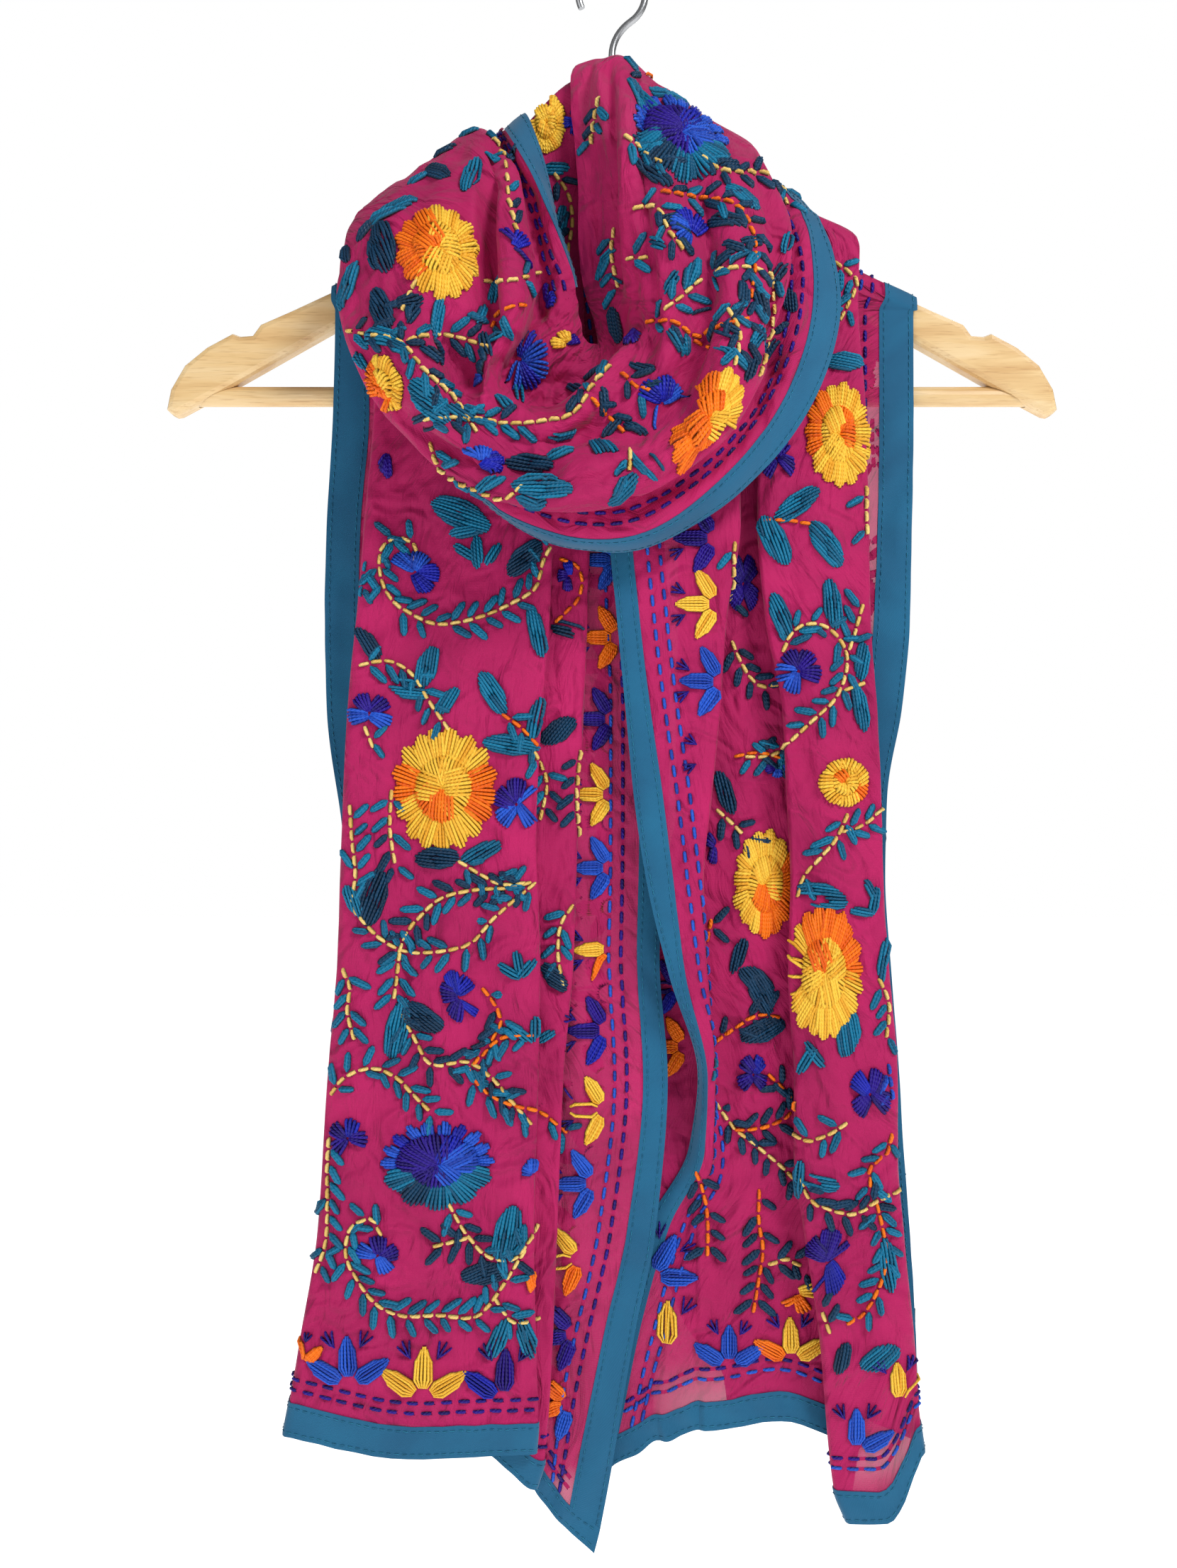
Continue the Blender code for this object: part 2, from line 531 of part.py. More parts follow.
def build_hanger_hook(steel):
    curve = bpy.data.curves.new("hanger_hook", "CURVE")
    curve.dimensions = "3D"
    curve.bevel_depth = WIRE_RADIUS * MM
    curve.bevel_resolution = 2
    curve.use_fill_caps = True
    path = hook_path()
    spline = curve.splines.new("POLY")
    spline.points.add(len(path) - 1)
    for point, (x, z) in zip(spline.points, path):
        point.co = (x * MM, 0.0, z * MM, 1.0)
    curve.materials.append(steel)
    hook = bpy.data.objects.new("hanger_hook", curve)
    bpy.context.scene.collection.objects.link(hook)
    return hook


def main():
    clear_scene()
    cloth = make_material("georgette", GEORGETTE)
    tape = make_material("binding_tape", TAPE)
    beech = make_material("beech", BEECH)
    steel = make_material("steel_wire", STEEL)
    build_hanger_arms(beech)
    build_hanger_bar(beech)
    build_hanger_hook(steel)
    left = tail_grid(LEFT_TAIL, LEFT_HEM, LEFT_SAG, LEFT_DEPTH, LEFT_RIDGE, LEFT_SEAT)
    right = tail_grid(RIGHT_TAIL, RIGHT_HEM, RIGHT_SAG, RIGHT_DEPTH, RIGHT_RIDGE, RIGHT_SEAT)
    build_tail("left", left, cloth, tape)
    build_tail("right", right, cloth, tape)
    build_loop(cloth, tape)


main()
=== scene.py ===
"""A magenta embroidered dupatta stole, looped once round the neck of a wooden hanger.

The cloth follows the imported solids: the same fold lines, in millimetres, carry finer sheets
with creases, and the thread work is laid on those sheets stitch by stitch.
"""
import math

import bpy
import numpy as np
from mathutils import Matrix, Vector
from mathutils.bvhtree import BVHTree


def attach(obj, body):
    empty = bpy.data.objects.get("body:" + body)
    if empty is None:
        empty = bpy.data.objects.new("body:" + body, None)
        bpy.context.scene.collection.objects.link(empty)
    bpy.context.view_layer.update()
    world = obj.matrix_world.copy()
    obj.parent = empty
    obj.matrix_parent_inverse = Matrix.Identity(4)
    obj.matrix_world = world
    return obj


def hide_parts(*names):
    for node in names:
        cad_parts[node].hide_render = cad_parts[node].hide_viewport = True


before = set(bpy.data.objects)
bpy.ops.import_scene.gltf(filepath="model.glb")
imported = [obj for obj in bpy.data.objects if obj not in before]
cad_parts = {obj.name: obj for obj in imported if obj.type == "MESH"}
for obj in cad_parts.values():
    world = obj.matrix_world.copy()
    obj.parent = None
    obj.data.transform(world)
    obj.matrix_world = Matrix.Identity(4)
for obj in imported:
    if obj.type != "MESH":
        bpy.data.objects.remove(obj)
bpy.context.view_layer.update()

bl_info = {
    "name": "Embroidered dupatta stole on a hanger",
    "version": (1, 0, 0),
    "blender": (4, 5, 0),
    "location": "View3D > Sidebar > Stole",
    "description": "Dresses the packed stole and hanger with cloth, thread work and varnish",
    "category": "Object",
}

# Lengths are in millimetres, apart from those of the settings, materials, lights and sheets'
# flat sizes, which are in metres.
MM = 0.001

# A tail's fold lines run from one long edge to the other. A "tape" column is the outer line
# of the binding, and an "edge" its seam. Between two folds the cloth lies in one of seven
# layers. The rows give x of each fold line at a height z, from the hem's seam to just under
# the arms.
LEFT_TAIL = (
    # z     tape  edge fold1 fold2 fold3 fold4 fold5 fold6 edge tape
    (-681, (-123, -107, -46, -152, -37, -64, -29, -44, -4, 11)),
    (-632, (-125, -109, -45, -144, -38, -68, -27, -44, 7, 21)),
    (-557, (-126, -111, -44, -139, -36, -70, -24, -40, 15, 27)),
    (-498, (-130, -113, -42, -134, -35, -74, -19, -50, 12, 23)),
    (-438, (-134, -118, -42, -132, -37, -76, -17, -54, 13, 27)),
    (-376, (-142, -126, -42, -129, -34, -76, -14, -56, 13, 28)),
    (-324, (-143, -126, -42, -124, -30, -75, -12, -54, 11, 27)),
    (-285, (-142, -125, -42, -121, -29, -74, -11, -52, 9, 25)),
    (-228, (-139, -121, -48, -117, -32, -74, -12, -50, 6, 20)),
    (-177, (-138, -123, -64, -119, -43, -76, -14, -40, 2, 11)),
)
RIGHT_TAIL = (
    (-681, (-3, 14, 28, 42, 118, 100, 147, 36, 135, 151)),
    (-632, (16, 28, 38, 42, 118, 93, 142, 20, 131, 148)),
    (-592, (38, 45, 49, 50, 116, 88, 139, 14, 129, 145)),
    (-557, (42, 46, 50, 48, 115, 88, 139, 14, 126, 143)),
    (-505, (27, 35, 46, 38, 114, 85, 135, 18, 123, 139)),
    (-459, (16, 29, 44, 31, 112, 86, 132, 26, 120, 136)),
    (-418, (10, 24, 48, 31, 112, 84, 131, 34, 121, 137)),
    (-376, (6, 18, 52, 31, 112, 82, 129, 42, 126, 144)),
    (-334, (2, 13, 55, 32, 112, 74, 126, 44, 130, 148)),
    (-285, (-2, 9, 62, 32, 112, 70, 125, 46, 132, 149)),
    (-228, (-1, 9, 60, 32, 110, 71, 124, 56, 133, 150)),
    (-177, (2, 9, 57, 34, 106, 73, 121, 74, 133, 150)),
)

# The two rows of a hem: x, z of each fold line at the tape's seam and at its bottom.
LEFT_HEM = (
    ((-121, -711), (-105, -711), (-48, -716), (-157, -711), (-36, -720),
     (-62, -724), (-33, -741), (-44, -735), (-21, -766), (-6, -777)),
    ((-121, -727), (-105, -727), (-48, -732), (-160, -727), (-37, -735),
     (-64, -737), (-37, -755), (-48, -748), (-23, -777), (-9, -789)),
)
RIGHT_HEM = (
    ((-12, -740), (3, -734), (23, -724), (44, -717), (120, -722),
     (107, -754), (150, -723), (56, -709), (139, -714), (152, -712)),
    ((-2, -756), (-1, -751), (25, -737), (44, -731), (122, -737),
     (113, -770), (152, -737), (58, -724), (140, -729), (150, -726)),
)

# How far a hem hangs below the straight line between two folds: place between the folds
# from 0 at the first tape, drop.
LEFT_SAG = ((3, 0), (3.5, 6), (4, 0))
RIGHT_SAG = ((3, 0), (3.5, -8), (4, 0), (5, 0), (5.5, 16), (6, 0), (6.5, -8), (7, 0),
             (7.5, -6), (8, 0))

# y of the outer tape, the seven layers and the other tape, at a height z.
LEFT_DEPTH = (
    # z     tape   l1   l2   l3   l4   l5   l6   l7  tape
    (-760, (-9.5, -9.5, -13.5, -37, -33, -29.5, -26, -22, -22)),
    (-557, (-9.5, -9.5, -13.5, -37, -32.5, -28.5, -25, -21.5, -21.5)),
    (-285, (-9.5, -9.5, -13.5, -34, -29.5, -25.5, -21.5, -17.5, -17.5)),
    (-177, (-8.2, -8.2, -12, -23.2, -19.4, -15.7, -12, -8.2, -8.2)),
)
RIGHT_DEPTH = (
    (-760, (-14.5, -14.5, -16, -18.5, -25, -33, -11.8, -8.2, -8.2)),
    (-681, (-14.5, -14.5, -16, -18.5, -25, -34, -11.8, -8.2, -8.2)),
    (-632, (-14.5, -14.5, -16, -18.5, -25, -34, -11.8, -8.2, -8.2)),
    (-592, (-15, -24, -21.5, -18.5, -25, -34, -11.8, -8.2, -8.2)),
    (-557, (-21, -31, -25, -18.5, -26, -34, -11.8, -8.2, -8.2)),
    (-505, (-35, -35, -28, -19, -26, -34, -12, -8.2, -8.2)),
    (-285, (-34, -34, -28, -19, -26, -33, -13, -9.5, -9.5)),
    (-177, (-23.2, -23.2, -19.4, -15.7, -19.4, -23.2, -12, -8.2, -8.2)),
)

# x of each fold line where the tail passes over the arm or the crown.
LEFT_RIDGE = (-140, -125, -88, -114, -52, -70, -14, -42, -26, -20)
RIGHT_RIDGE = (12, 22, 54, 38, 98, 70, 118, 84, 136, 152)

# The line that the lowest layer follows over the hanger: x, z. Over the arms it lies on
# the wood, and beside the stem the cloth is bunched higher.
LEFT_SEAT = ((-160, -172.3), (-145, -165.3), (-120, -153.8), (-100, -141), (-80, -128),
             (-66, -116), (-50, -99), (-10, -60))
RIGHT_SEAT = ((0, -98), (14, -99), (40, -111), (80, -132), (120, -153.8), (145, -165.3),
              (160, -172.3))

# Over the seat a tail is close round the arm: share of x, drop below the seat's line, y of
# the layer nearest the wood, and how the layers' spread goes to y and to height.
SHOULDER = (
    (1.00, 8.0, -8.6, -0.85, 0.80),
    (1.00, 1.3, -6.3, -0.55, 0.78),
    (1.00, 0.0, 0.0, 0.0, 0.80),
    (0.99, 1.3, 6.3, 0.50, 0.78),
    (0.97, 9.0, 8.6, 0.75, 0.78),
    (0.93, 32.0, 8.6, 0.75, 0.75),
)
FOLD_ROUND = 2.0          # radius of the turn at a fold's tip
FADE = 9.0                # folds closer than this flatten out
TIP_LEAN = 0.2            # how far the points beside a tip lean towards its depth
LEAST_STEP = 0.2          # least distance between two knots of a curve

# The loop: a closed ring of stations round the hook's stem, from the cowl's left ridge down
# and round. At each one the cloth runs from the binding of its inner edge and that edge,
# over the pouch in the well, the well, the rim, the upper roll, its crease and the lower
# roll, round the lip into a slit, and out to the outer edge and its tape: x, y, z.
LOOP = {
    "ridge_left": (
        (-43, -21, -84), (-53, -22, -92), (-56, -12, -90), (-59, -8, -90), (-63, -12, -89),
        (-70, -9, -87), (-76, -7, -90), (-93, -9, -105), (-118, -9, -127), (-110, -5, -127),
        (-104, -6, -120), (-98, -7, -115)),
    "left_high": (
        (-29, -36, -132), (-34, -50, -135), (-36, -46, -138), (-40, -42, -137), (-44, -57, -143),
        (-51, -62, -144), (-60, -55, -141), (-84, -62, -144), (-125, -35, -147), (-119, -30, -148),
        (-113, -36, -153), (-103, -42, -159)),
    "left": (
        (-22, -33, -172), (-18, -46, -177), (-25, -50, -178), (-34, -44, -182), (-37, -62, -180),
        (-49, -74, -190), (-59, -67, -191), (-86, -78, -195), (-129, -47, -185), (-121, -39, -186),
        (-114, -41, -192), (-104, -42, -202)),
    "low_left": (
        (-13, -35, -182), (-16, -44, -190), (-33, -52, -210), (-50, -50, -225), (-51, -67, -234),
        (-57, -80, -242), (-67, -75, -244), (-77, -86, -251), (-99, -67, -250), (-92, -53, -245),
        (-86, -49, -254), (-76, -44, -262)),
    "bottom_left": (
        (-11, -34, -190), (-13, -42, -201), (-22, -48, -214), (-32, -48, -233), (-33, -66, -241),
        (-34, -82, -257), (-36, -80, -265), (-38, -92, -278), (-42, -83, -288), (-40, -63, -280),
        (-38, -60, -292), (-40, -46, -294)),
    "bottom": (
        (-9, -30, -190), (-8, -36, -201), (-8, -42, -207), (-9, -45, -217), (-8, -61, -221),
        (-8, -78, -240), (-7, -77, -253), (-5, -92, -273), (-5, -84, -288), (-5, -64, -281),
        (-1, -62, -299), (0, -48, -303)),
    "low_right": (
        (-13, -28, -179), (-10, -31, -187), (-3, -37, -195), (3, -44, -203), (11, -59, -201),
        (19, -76, -228), (27, -75, -241), (37, -88, -255), (50, -79, -256), (44, -60, -248),
        (65, -57, -254), (74, -49, -261)),
    "right": (
        (-17, -30, -170), (-14, -32, -172), (-8, -36, -174), (0, -42, -176), (9, -57, -178),
        (21, -74, -186), (34, -71, -188), (53, -78, -193), (80, -65, -187), (72, -49, -182),
        (95, -45, -181), (109, -38, -180)),
    "right_high": (
        (-20, -28, -121), (-17, -30, -122), (-11, -34, -123), (-4, -40, -125), (2, -53, -130),
        (14, -66, -136), (28, -62, -137), (51, -63, -144), (84, -49, -151), (79, -38, -146),
        (92, -35, -143), (101, -29, -140)),
    "ridge_right": (
        (-17, -10, -55), (-14, -12, -55), (-11, -14, -55), (-7, -16, -55), (-3, -19, -56),
        (6, -14, -53), (17, -12, -61), (43, -12, -80), (70, -8, -100), (62, -4, -105),
        (79, -3, -111), (88, 1, -116)),
    "over_right": (
        (10, 0, -74), (13, 2, -69), (13, 3, -66), (13, 6, -63), (15, 9, -60), (23, 10, -59),
        (33, 12, -68), (55, 16, -88), (78, 18, -107), (70, 11, -111), (84, 14, -116),
        (92, 18, -120)),
    "back_right": (
        (36, 25, -112), (38, 22, -97), (38, 24, -91), (39, 27, -86), (41, 31, -80), (50, 35, -80),
        (58, 36, -94), (66, 42, -118), (77, 43, -146), (76, 36, -140), (84, 35, -160),
        (88, 35, -176)),
    "back_mid": (
        (0, 21, -108), (0, 24, -92), (0, 26, -85), (0, 28, -80), (0, 31, -75), (0, 40, -86),
        (0, 40, -104), (0, 47, -130), (0, 48, -162), (0, 40, -156), (0, 39, -182), (0, 39, -199)),
    "back_left": (
        (-38, 22, -112), (-40, 24, -96), (-42, 25, -92), (-45, 27, -88), (-50, 30, -84),
        (-58, 36, -88), (-66, 36, -100), (-76, 42, -120), (-96, 42, -150), (-91, 35, -147),
        (-85, 33, -158), (-80, 31, -171)),
    "over_left": (
        (-48, 16, -94), (-54, 14, -84), (-57, 13, -84), (-60, 12, -86), (-65, 12, -85),
        (-71, 14, -84), (-78, 15, -90), (-94, 17, -107), (-113, 20, -126), (-107, 18, -126),
        (-100, 19, -119), (-93, 20, -112)),
}
COWL_END = "ridge_right"        # the cowl runs to here, and the band behind the neck from here
INNER_TAPE_END = "left"         # past here the inner edge is turned under, out of sight
BACK_TAPE_END = "back_left"     # past here the outer edge turns under, up to the front


def blend_rows(knots, values, at, overshoot=False):
    """Smooth curve through values at knots, read at the places in at.

    Without overshoot a coordinate never passes its neighbours' range, so a fold's tip
    stays where its table puts it."""
    knots = np.asarray(knots, float)
    values = np.asarray(values, float)
    gaps = np.diff(knots).reshape((-1,) + (1,) * (values.ndim - 1))
    slopes = np.diff(values, axis=0) / gaps
    before, after = slopes[:-1], slopes[1:]
    if overshoot:
        inner = (before * gaps[1:] + after * gaps[:-1]) / (gaps[1:] + gaps[:-1])
    else:
        product = before * after
        total = before + after
        safe = np.where(np.abs(total) < 1e-9, 1.0, total)
        inner = np.where(product > 0, 2 * product / safe, 0.0)
    tangents = np.concatenate([slopes[:1], inner, slopes[-1:]])
    at = np.clip(np.asarray(at, float), knots[0], knots[-1])
    index = np.clip(np.searchsorted(knots, at, side="right") - 1, 0, len(knots) - 2)
    wide = (-1,) + (1,) * (values.ndim - 1)
    length = (knots[index + 1] - knots[index]).reshape(wide)
    t = ((at - knots[index]) / (knots[index + 1] - knots[index])).reshape(wide)
    return ((2 * t ** 3 - 3 * t ** 2 + 1) * values[index]
            + (t ** 3 - 2 * t ** 2 + t) * length * tangents[index]
            + (3 * t ** 2 - 2 * t ** 3) * values[index + 1]
            + (t ** 3 - t ** 2) * length * tangents[index + 1])


def fold_row(folds, depths):
    """One section across a tail: x, outward distance and fold number of its points.

    Each fold has a point before its tip, one at it and one after it, and each layer has
    a point at its middle. A pleat that fades has its points spread in line instead."""
    folds = np.asarray(folds, float)
    layers = -np.asarray(depths[1:-1], float)
    tips = (layers[:-1] + layers[1:]) / 2
    points = [(folds[0], -depths[0], 0.0), (folds[1], layers[0], 1.0)]
    for i, layer in enumerate(layers):
        start, end = folds[i + 1], folds[i + 2]
        turn = FOLD_ROUND * (end - start) / (abs(end - start) + FADE)
        if i > 0:
            points.append((start + turn, layer + TIP_LEAN * (tips[i - 1] - layer), i + 1.0))
        points.append(((start + end) / 2, layer, i + 1.5))
        if i < len(tips):
            points.append((end - turn, layer + TIP_LEAN * (tips[i] - layer), i + 2.0))
            points.append((end, tips[i], i + 2.0))
    points.append((folds[-2], layers[-1], len(folds) - 2.0))
    points.append((folds[-1], -depths[-1], len(folds) - 1.0))
    return np.array(points).T


def tail_grid(tail, hem, sag, depth, ridge, seat):
    """Middle points of a tail: stations from the hem's bottom up and over the arm."""
    depth_z = np.array([row[0] for row in depth], float)
    depth_y = np.array([row[1] for row in depth], float)
    stations = []
    for row in reversed(hem):
        at_hem = blend_rows(depth_z, depth_y, [row[4][1]])[0]
        x, out, number = fold_row([point[0] for point in row], at_hem)
        z = np.interp(number, np.arange(len(row)), [point[1] for point in row])
        z -= np.interp(number, *np.array(sag, float).T)
        stations.append(np.stack([x, -out, z], axis=1))
    for height, folds in tail:
        x, out, _ = fold_row(folds, blend_rows(depth_z, depth_y, [height])[0])
        stations.append(np.stack([x, -out, np.full_like(x, height)], axis=1))
    x, out, _ = fold_row(ridge, depth_y[-1])
    spread = out - out.min()
    line_x, line_z = np.array(seat, float).T
    seat_z = np.interp(x, line_x, line_z)
    slope = np.interp(x, line_x, np.gradient(line_z, line_x))
    length = np.hypot(1.0, slope)
    for share, drop, near, to_depth, to_height in SHOULDER:
        lift = to_height * spread
        y = near + to_depth * spread
        z = seat_z + lift / length - drop
        stations.append(np.stack([x * share - lift * slope / length, y, z], axis=1))
    return np.array(stations)


def unit(vectors):
    return vectors / np.maximum(np.linalg.norm(vectors, axis=-1, keepdims=True), 1e-9)


def arc(points, axis=0):
    """Distance along one axis of a line or grid of points, from its start."""
    steps = np.linalg.norm(np.diff(points, axis=axis), axis=-1)
    pad = [(0, 0)] * steps.ndim
    pad[axis] = (1, 0)
    return np.pad(np.cumsum(steps, axis=axis), pad)


def read_line(line, gone, at):
    """The columns of a line's points, read at distances along it."""
    return np.stack([np.interp(at, gone, column) for column in line.T], axis=1)


def refine(lines, numbers, overshoot):
    """Read each line of a grid's first axis at whole and fractional point numbers."""
    out = np.empty((len(numbers),) + lines.shape[1:])
    for column in range(lines.shape[1]):
        line = lines[:, column]
        steps = np.linalg.norm(np.diff(line, axis=0), axis=1)
        knots = np.concatenate([[0.0], np.cumsum(np.maximum(steps, LEAST_STEP))])
        out[:, column] = blend_rows(knots, line, np.interp(numbers, np.arange(len(knots)), knots),
                                    overshoot)
    return out


def read_grid(grid, along, across, overshoot=False):
    """A finer grid of points from a grid of fold lines."""
    rows = refine(grid, along, overshoot)
    return refine(rows.transpose(1, 0, 2), across, overshoot).transpose(1, 0, 2)


def fine_numbers(count, steps):
    """Point numbers 0 to count - 1 with steps to each interval; steps may be a list."""
    if not hasattr(steps, "__len__"):
        steps = [steps] * (count - 1)
    parts = [np.linspace(i, i + 1, n, endpoint=False) for i, n in enumerate(steps)]
    return np.concatenate(parts + [[count - 1]])


def sheet_normals(middle):
    """Unit normals of a grid of points, on the cloth's outer face."""
    return unit(np.cross(np.gradient(middle, axis=1), np.gradient(middle, axis=0)))


def to_segment(points, start, end):
    """Distance of each point from a segment, and how far along it, 0 to 1."""
    span = end - start
    along = np.clip(((points - start) @ span) / max(float(span @ span), 1e-9), 0, 1)
    return np.linalg.norm(points - (start + along[..., None] * span), axis=-1), along


def crease_height(points, creases):
    """Height that soft creases add at each point: ridges up, troughs down.

    A crease is (height, half width, its points). It dies out towards both ends."""
    total = np.zeros(points.shape[:-1])
    for height, width, line in creases:
        line = np.array(line, float)
        lengths = np.linalg.norm(np.diff(line, axis=0), axis=1)
        whole = lengths.sum()
        best = np.full(points.shape[:-1], 1e9)
        place = np.zeros(points.shape[:-1])
        done = 0.0
        for i, length in enumerate(lengths):
            far, along = to_segment(points, line[i], line[i + 1])
            nearer = far < best
            best = np.where(nearer, far, best)
            place = np.where(nearer, (done + along * length) / whole, place)
            done += length
        fade = np.clip(4 * place * (1 - place), 0, 1) ** 0.5
        total += height * fade * np.exp(-(best / width) ** 2)
    return total


# ---- materials ----

def linear(hex_colour):
    """An sRGB hex colour as linear RGB."""
    channels = [int(hex_colour[i:i + 2], 16) / 255 for i in (1, 3, 5)]
    return tuple(c / 12.92 if c <= 0.04045 else ((c + 0.055) / 1.055) ** 2.4 for c in channels)


def rgba(hex_colour):
    return (*linear(hex_colour), 1.0)


def node(tree, kind, inputs=None, **settings):
    """Add a node with its settings and inputs: a value, or a (node, output) link."""
    made = tree.nodes.new(kind)
    for key, value in settings.items():
        setattr(made, key, value)
    for key, value in (inputs or {}).items():
        if isinstance(value, tuple) and len(value) == 2 and hasattr(value[0], "outputs"):
            tree.links.new(value[0].outputs[value[1]], made.inputs[key])
        else:
            made.inputs[key].default_value = value
    return made


def new_material(name):
    material = bpy.data.materials.new(name)
    material.use_nodes = True
    tree = material.node_tree
    tree.nodes.clear()
    return material, tree


def ramp(tree, source, stops):
    made = node(tree, "ShaderNodeValToRGB", {"Fac": source})
    elements = made.color_ramp.elements
    elements[0].position, elements[0].color = stops[0][0], rgba(stops[0][1])
    elements[1].position, elements[1].color = stops[-1][0], rgba(stops[-1][1])
    for place, colour in stops[1:-1]:
        elements.new(place).color = rgba(colour)
    return made


def wave(tree, vector, scale, direction, distortion, detail, detail_scale=1.0):
    """Sine bands, such as yarns, ribs or plies."""
    return node(tree, "ShaderNodeTexWave",
                {"Vector": vector, "Scale": scale, "Distortion": distortion,
                 "Detail": detail, "Detail Scale": detail_scale},
                bands_direction=direction, wave_profile="SIN")


def noise(tree, vector, scale, detail, roughness=0.5, distortion=0.0):
    return node(tree, "ShaderNodeTexNoise",
                {"Vector": vector, "Scale": scale, "Detail": detail, "Roughness": roughness,
                 "Distortion": distortion})


def bump(tree, height, strength, distance, under=None):
    """Raise the surface by a height, on top of the bump under it."""
    inputs = {"Height": height, "Strength": strength, "Distance": distance}
    if under is not None:
        inputs["Normal"] = (under, 0)
    return node(tree, "ShaderNodeBump", inputs)


def total(tree, first, second, clamp=False):
    return node(tree, "ShaderNodeMath", {0: first, 1: second}, operation="ADD",
                use_clamp=clamp)


def tinted(tree, colour, tint, share):
    """A colour multiplied by a tint, to a share. The result is output 2."""
    return node(tree, "ShaderNodeMix", {"Factor": share, 6: (colour, 0), 7: (tint, 0)},
                data_type="RGBA", blend_type="MULTIPLY")


def surface(tree, inputs):
    """The shader with its inputs, joined to the material's output."""
    shader = node(tree, "ShaderNodeBsdfPrincipled", inputs)
    node(tree, "ShaderNodeOutputMaterial", {"Surface": (shader, 0)})


def georgette_material(settings):
    """Silk georgette: a sheer plain weave of hard-twisted crepe yarn, piece dyed. It shows
    a fine pebbled grain, a dry soft sheen, and what lies behind it."""
    material, tree = new_material("dyed_georgette")
    uv = node(tree, "ShaderNodeUVMap", uv_map="cloth")
    # The yarns are 0.25 mm apart; they are drawn coarser so that the grain shows.
    scale = math.pi / (10 * settings.weave_pitch)
    weft, warp = (wave(tree, (uv, 0), scale, way, 1.5, 1.0, 2.0) for way in "XY")
    weave = total(tree, (weft, "Fac"), (warp, "Fac"))
    crepe = noise(tree, (uv, 0), 900.0, 3.0)
    relief = bump(tree, (total(tree, (weave, 0), (crepe, 0)), 0), 0.35, 0.0002)
    # The crepe yarn draws the cloth up into small lengthwise crinkles, 4 to 12 mm apart.
    drawn = node(tree, "ShaderNodeMapping", {"Vector": (uv, 0), "Scale": (1.0, 0.3, 1.0)})
    crinkle = noise(tree, (drawn, 0), 110.0, 3.0, 0.55, 0.8)
    relief = bump(tree, (crinkle, 0), 0.8, 0.0036, relief)
    # The stitches pucker it into soft dents 2 to 4 cm across.
    pucker = noise(tree, (uv, 0), 38.0, 1.0, distortion=1.5)
    relief = bump(tree, (pucker, 0), 0.8, 0.009, relief)
    # The dye takes a little unevenly over a hand's width.
    patches = noise(tree, (uv, 0), 18.0, 4.0)
    dye = ramp(tree, (patches, 0), ((0.3, settings.shade_hex), (0.7, settings.cloth_hex)))
    # Where a single layer hangs clear of the others, what is behind it shows through.
    sheer = node(tree, "ShaderNodeAttribute", attribute_name="sheer")
    threads = node(tree, "ShaderNodeMapRange",
                   {"Value": (weave, 0), "From Min": 0.2, "From Max": 1.6, "To Min": -0.01,
                    "To Max": 0.01})
    cover = node(tree, "ShaderNodeMapRange",
                 {"Value": (sheer, "Fac"), "To Min": settings.cover,
                  "To Max": settings.sheer_cover})
    cover = total(tree, (cover, 0), (threads, 0), clamp=True)
    surface(tree, {"Base Color": (dye, 0), "Roughness": 0.7, "Sheen Weight": 0.08,
                   "Sheen Roughness": 0.4, "Specular IOR Level": 0.25,
                   "Alpha": (cover, 0), "Normal": (relief, 0)})
    return material


def tape_material(settings):
    """Cotton twill binding, dyed teal and pressed: fine slanting ribs and a dull face."""
    material, tree = new_material("twill_binding")
    uv = node(tree, "ShaderNodeUVMap", uv_map="cloth")
    slant = node(tree, "ShaderNodeMapping", {"Vector": (uv, 0), "Rotation": (0, 0, 0.9)})
    ribs = wave(tree, (slant, 0), 450.0, "X", 0.6, 2.0)
    fuzz = noise(tree, (uv, 0), 700.0, 4.0)
    relief = bump(tree, (total(tree, (ribs, "Fac"), (fuzz, 0)), 0), 0.3, 0.00015)
    patches = noise(tree, (uv, 0), 25.0, 3.0)
    dye = ramp(tree, (patches, 0), ((0.3, settings.tape_shade_hex), (0.7, settings.tape_hex)))
    surface(tree, {"Base Color": (dye, 0), "Roughness": 0.78, "Sheen Weight": 0.2,
                   "Specular IOR Level": 0.3, "Normal": (relief, 0)})
    return material


def thread_material(name, light_hex, dark_hex):
    """Mercerised embroidery yarn, loosely twisted: each strand takes the dye a little apart, and its
    sides carry painted shade.
    """
    material, tree = new_material("yarn_" + name)
    strand = node(tree, "ShaderNodeNewGeometry")
    dye = ramp(tree, (strand, "Random Per Island"), ((0.0, dark_hex), (0.7, light_hex)))
    uv = node(tree, "ShaderNodeUVMap", uv_map="cloth")
    # Painted shade: the sides of a strand are darkened in its colour, for the shade that its
    # neighbours cast in the grooves.
    girth = node(tree, "ShaderNodeSeparateXYZ", {"Vector": (uv, 0)})
    across = node(tree, "ShaderNodeMath", {0: (girth, "Y"), 1: 1 / (PROFILE_GIRTH[-1] * MM)},
                  operation="MULTIPLY")
    sides = ramp(tree, (across, 0), ((0.0, "#585858"), (0.32, "#FFFFFF"), (0.68, "#FFFFFF"),
                                     (1.0, "#585858")))
    # The plies of the yarn wind round each other.
    ply = wave(tree, (uv, 0), 2 * math.pi / (10 * PLY_LENGTH * MM), "DIAGONAL", 0.6, 1.0)
    # The base colour is the dye times the painted side shade.
    surface(tree, {"Base Color": (tinted(tree, dye, sides, 1.0), 2), "Roughness": 0.5,
                   "Specular IOR Level": 0.3,
                   "Normal": (bump(tree, (ply, 0), 0.7, 0.0004), 0)})
    return material


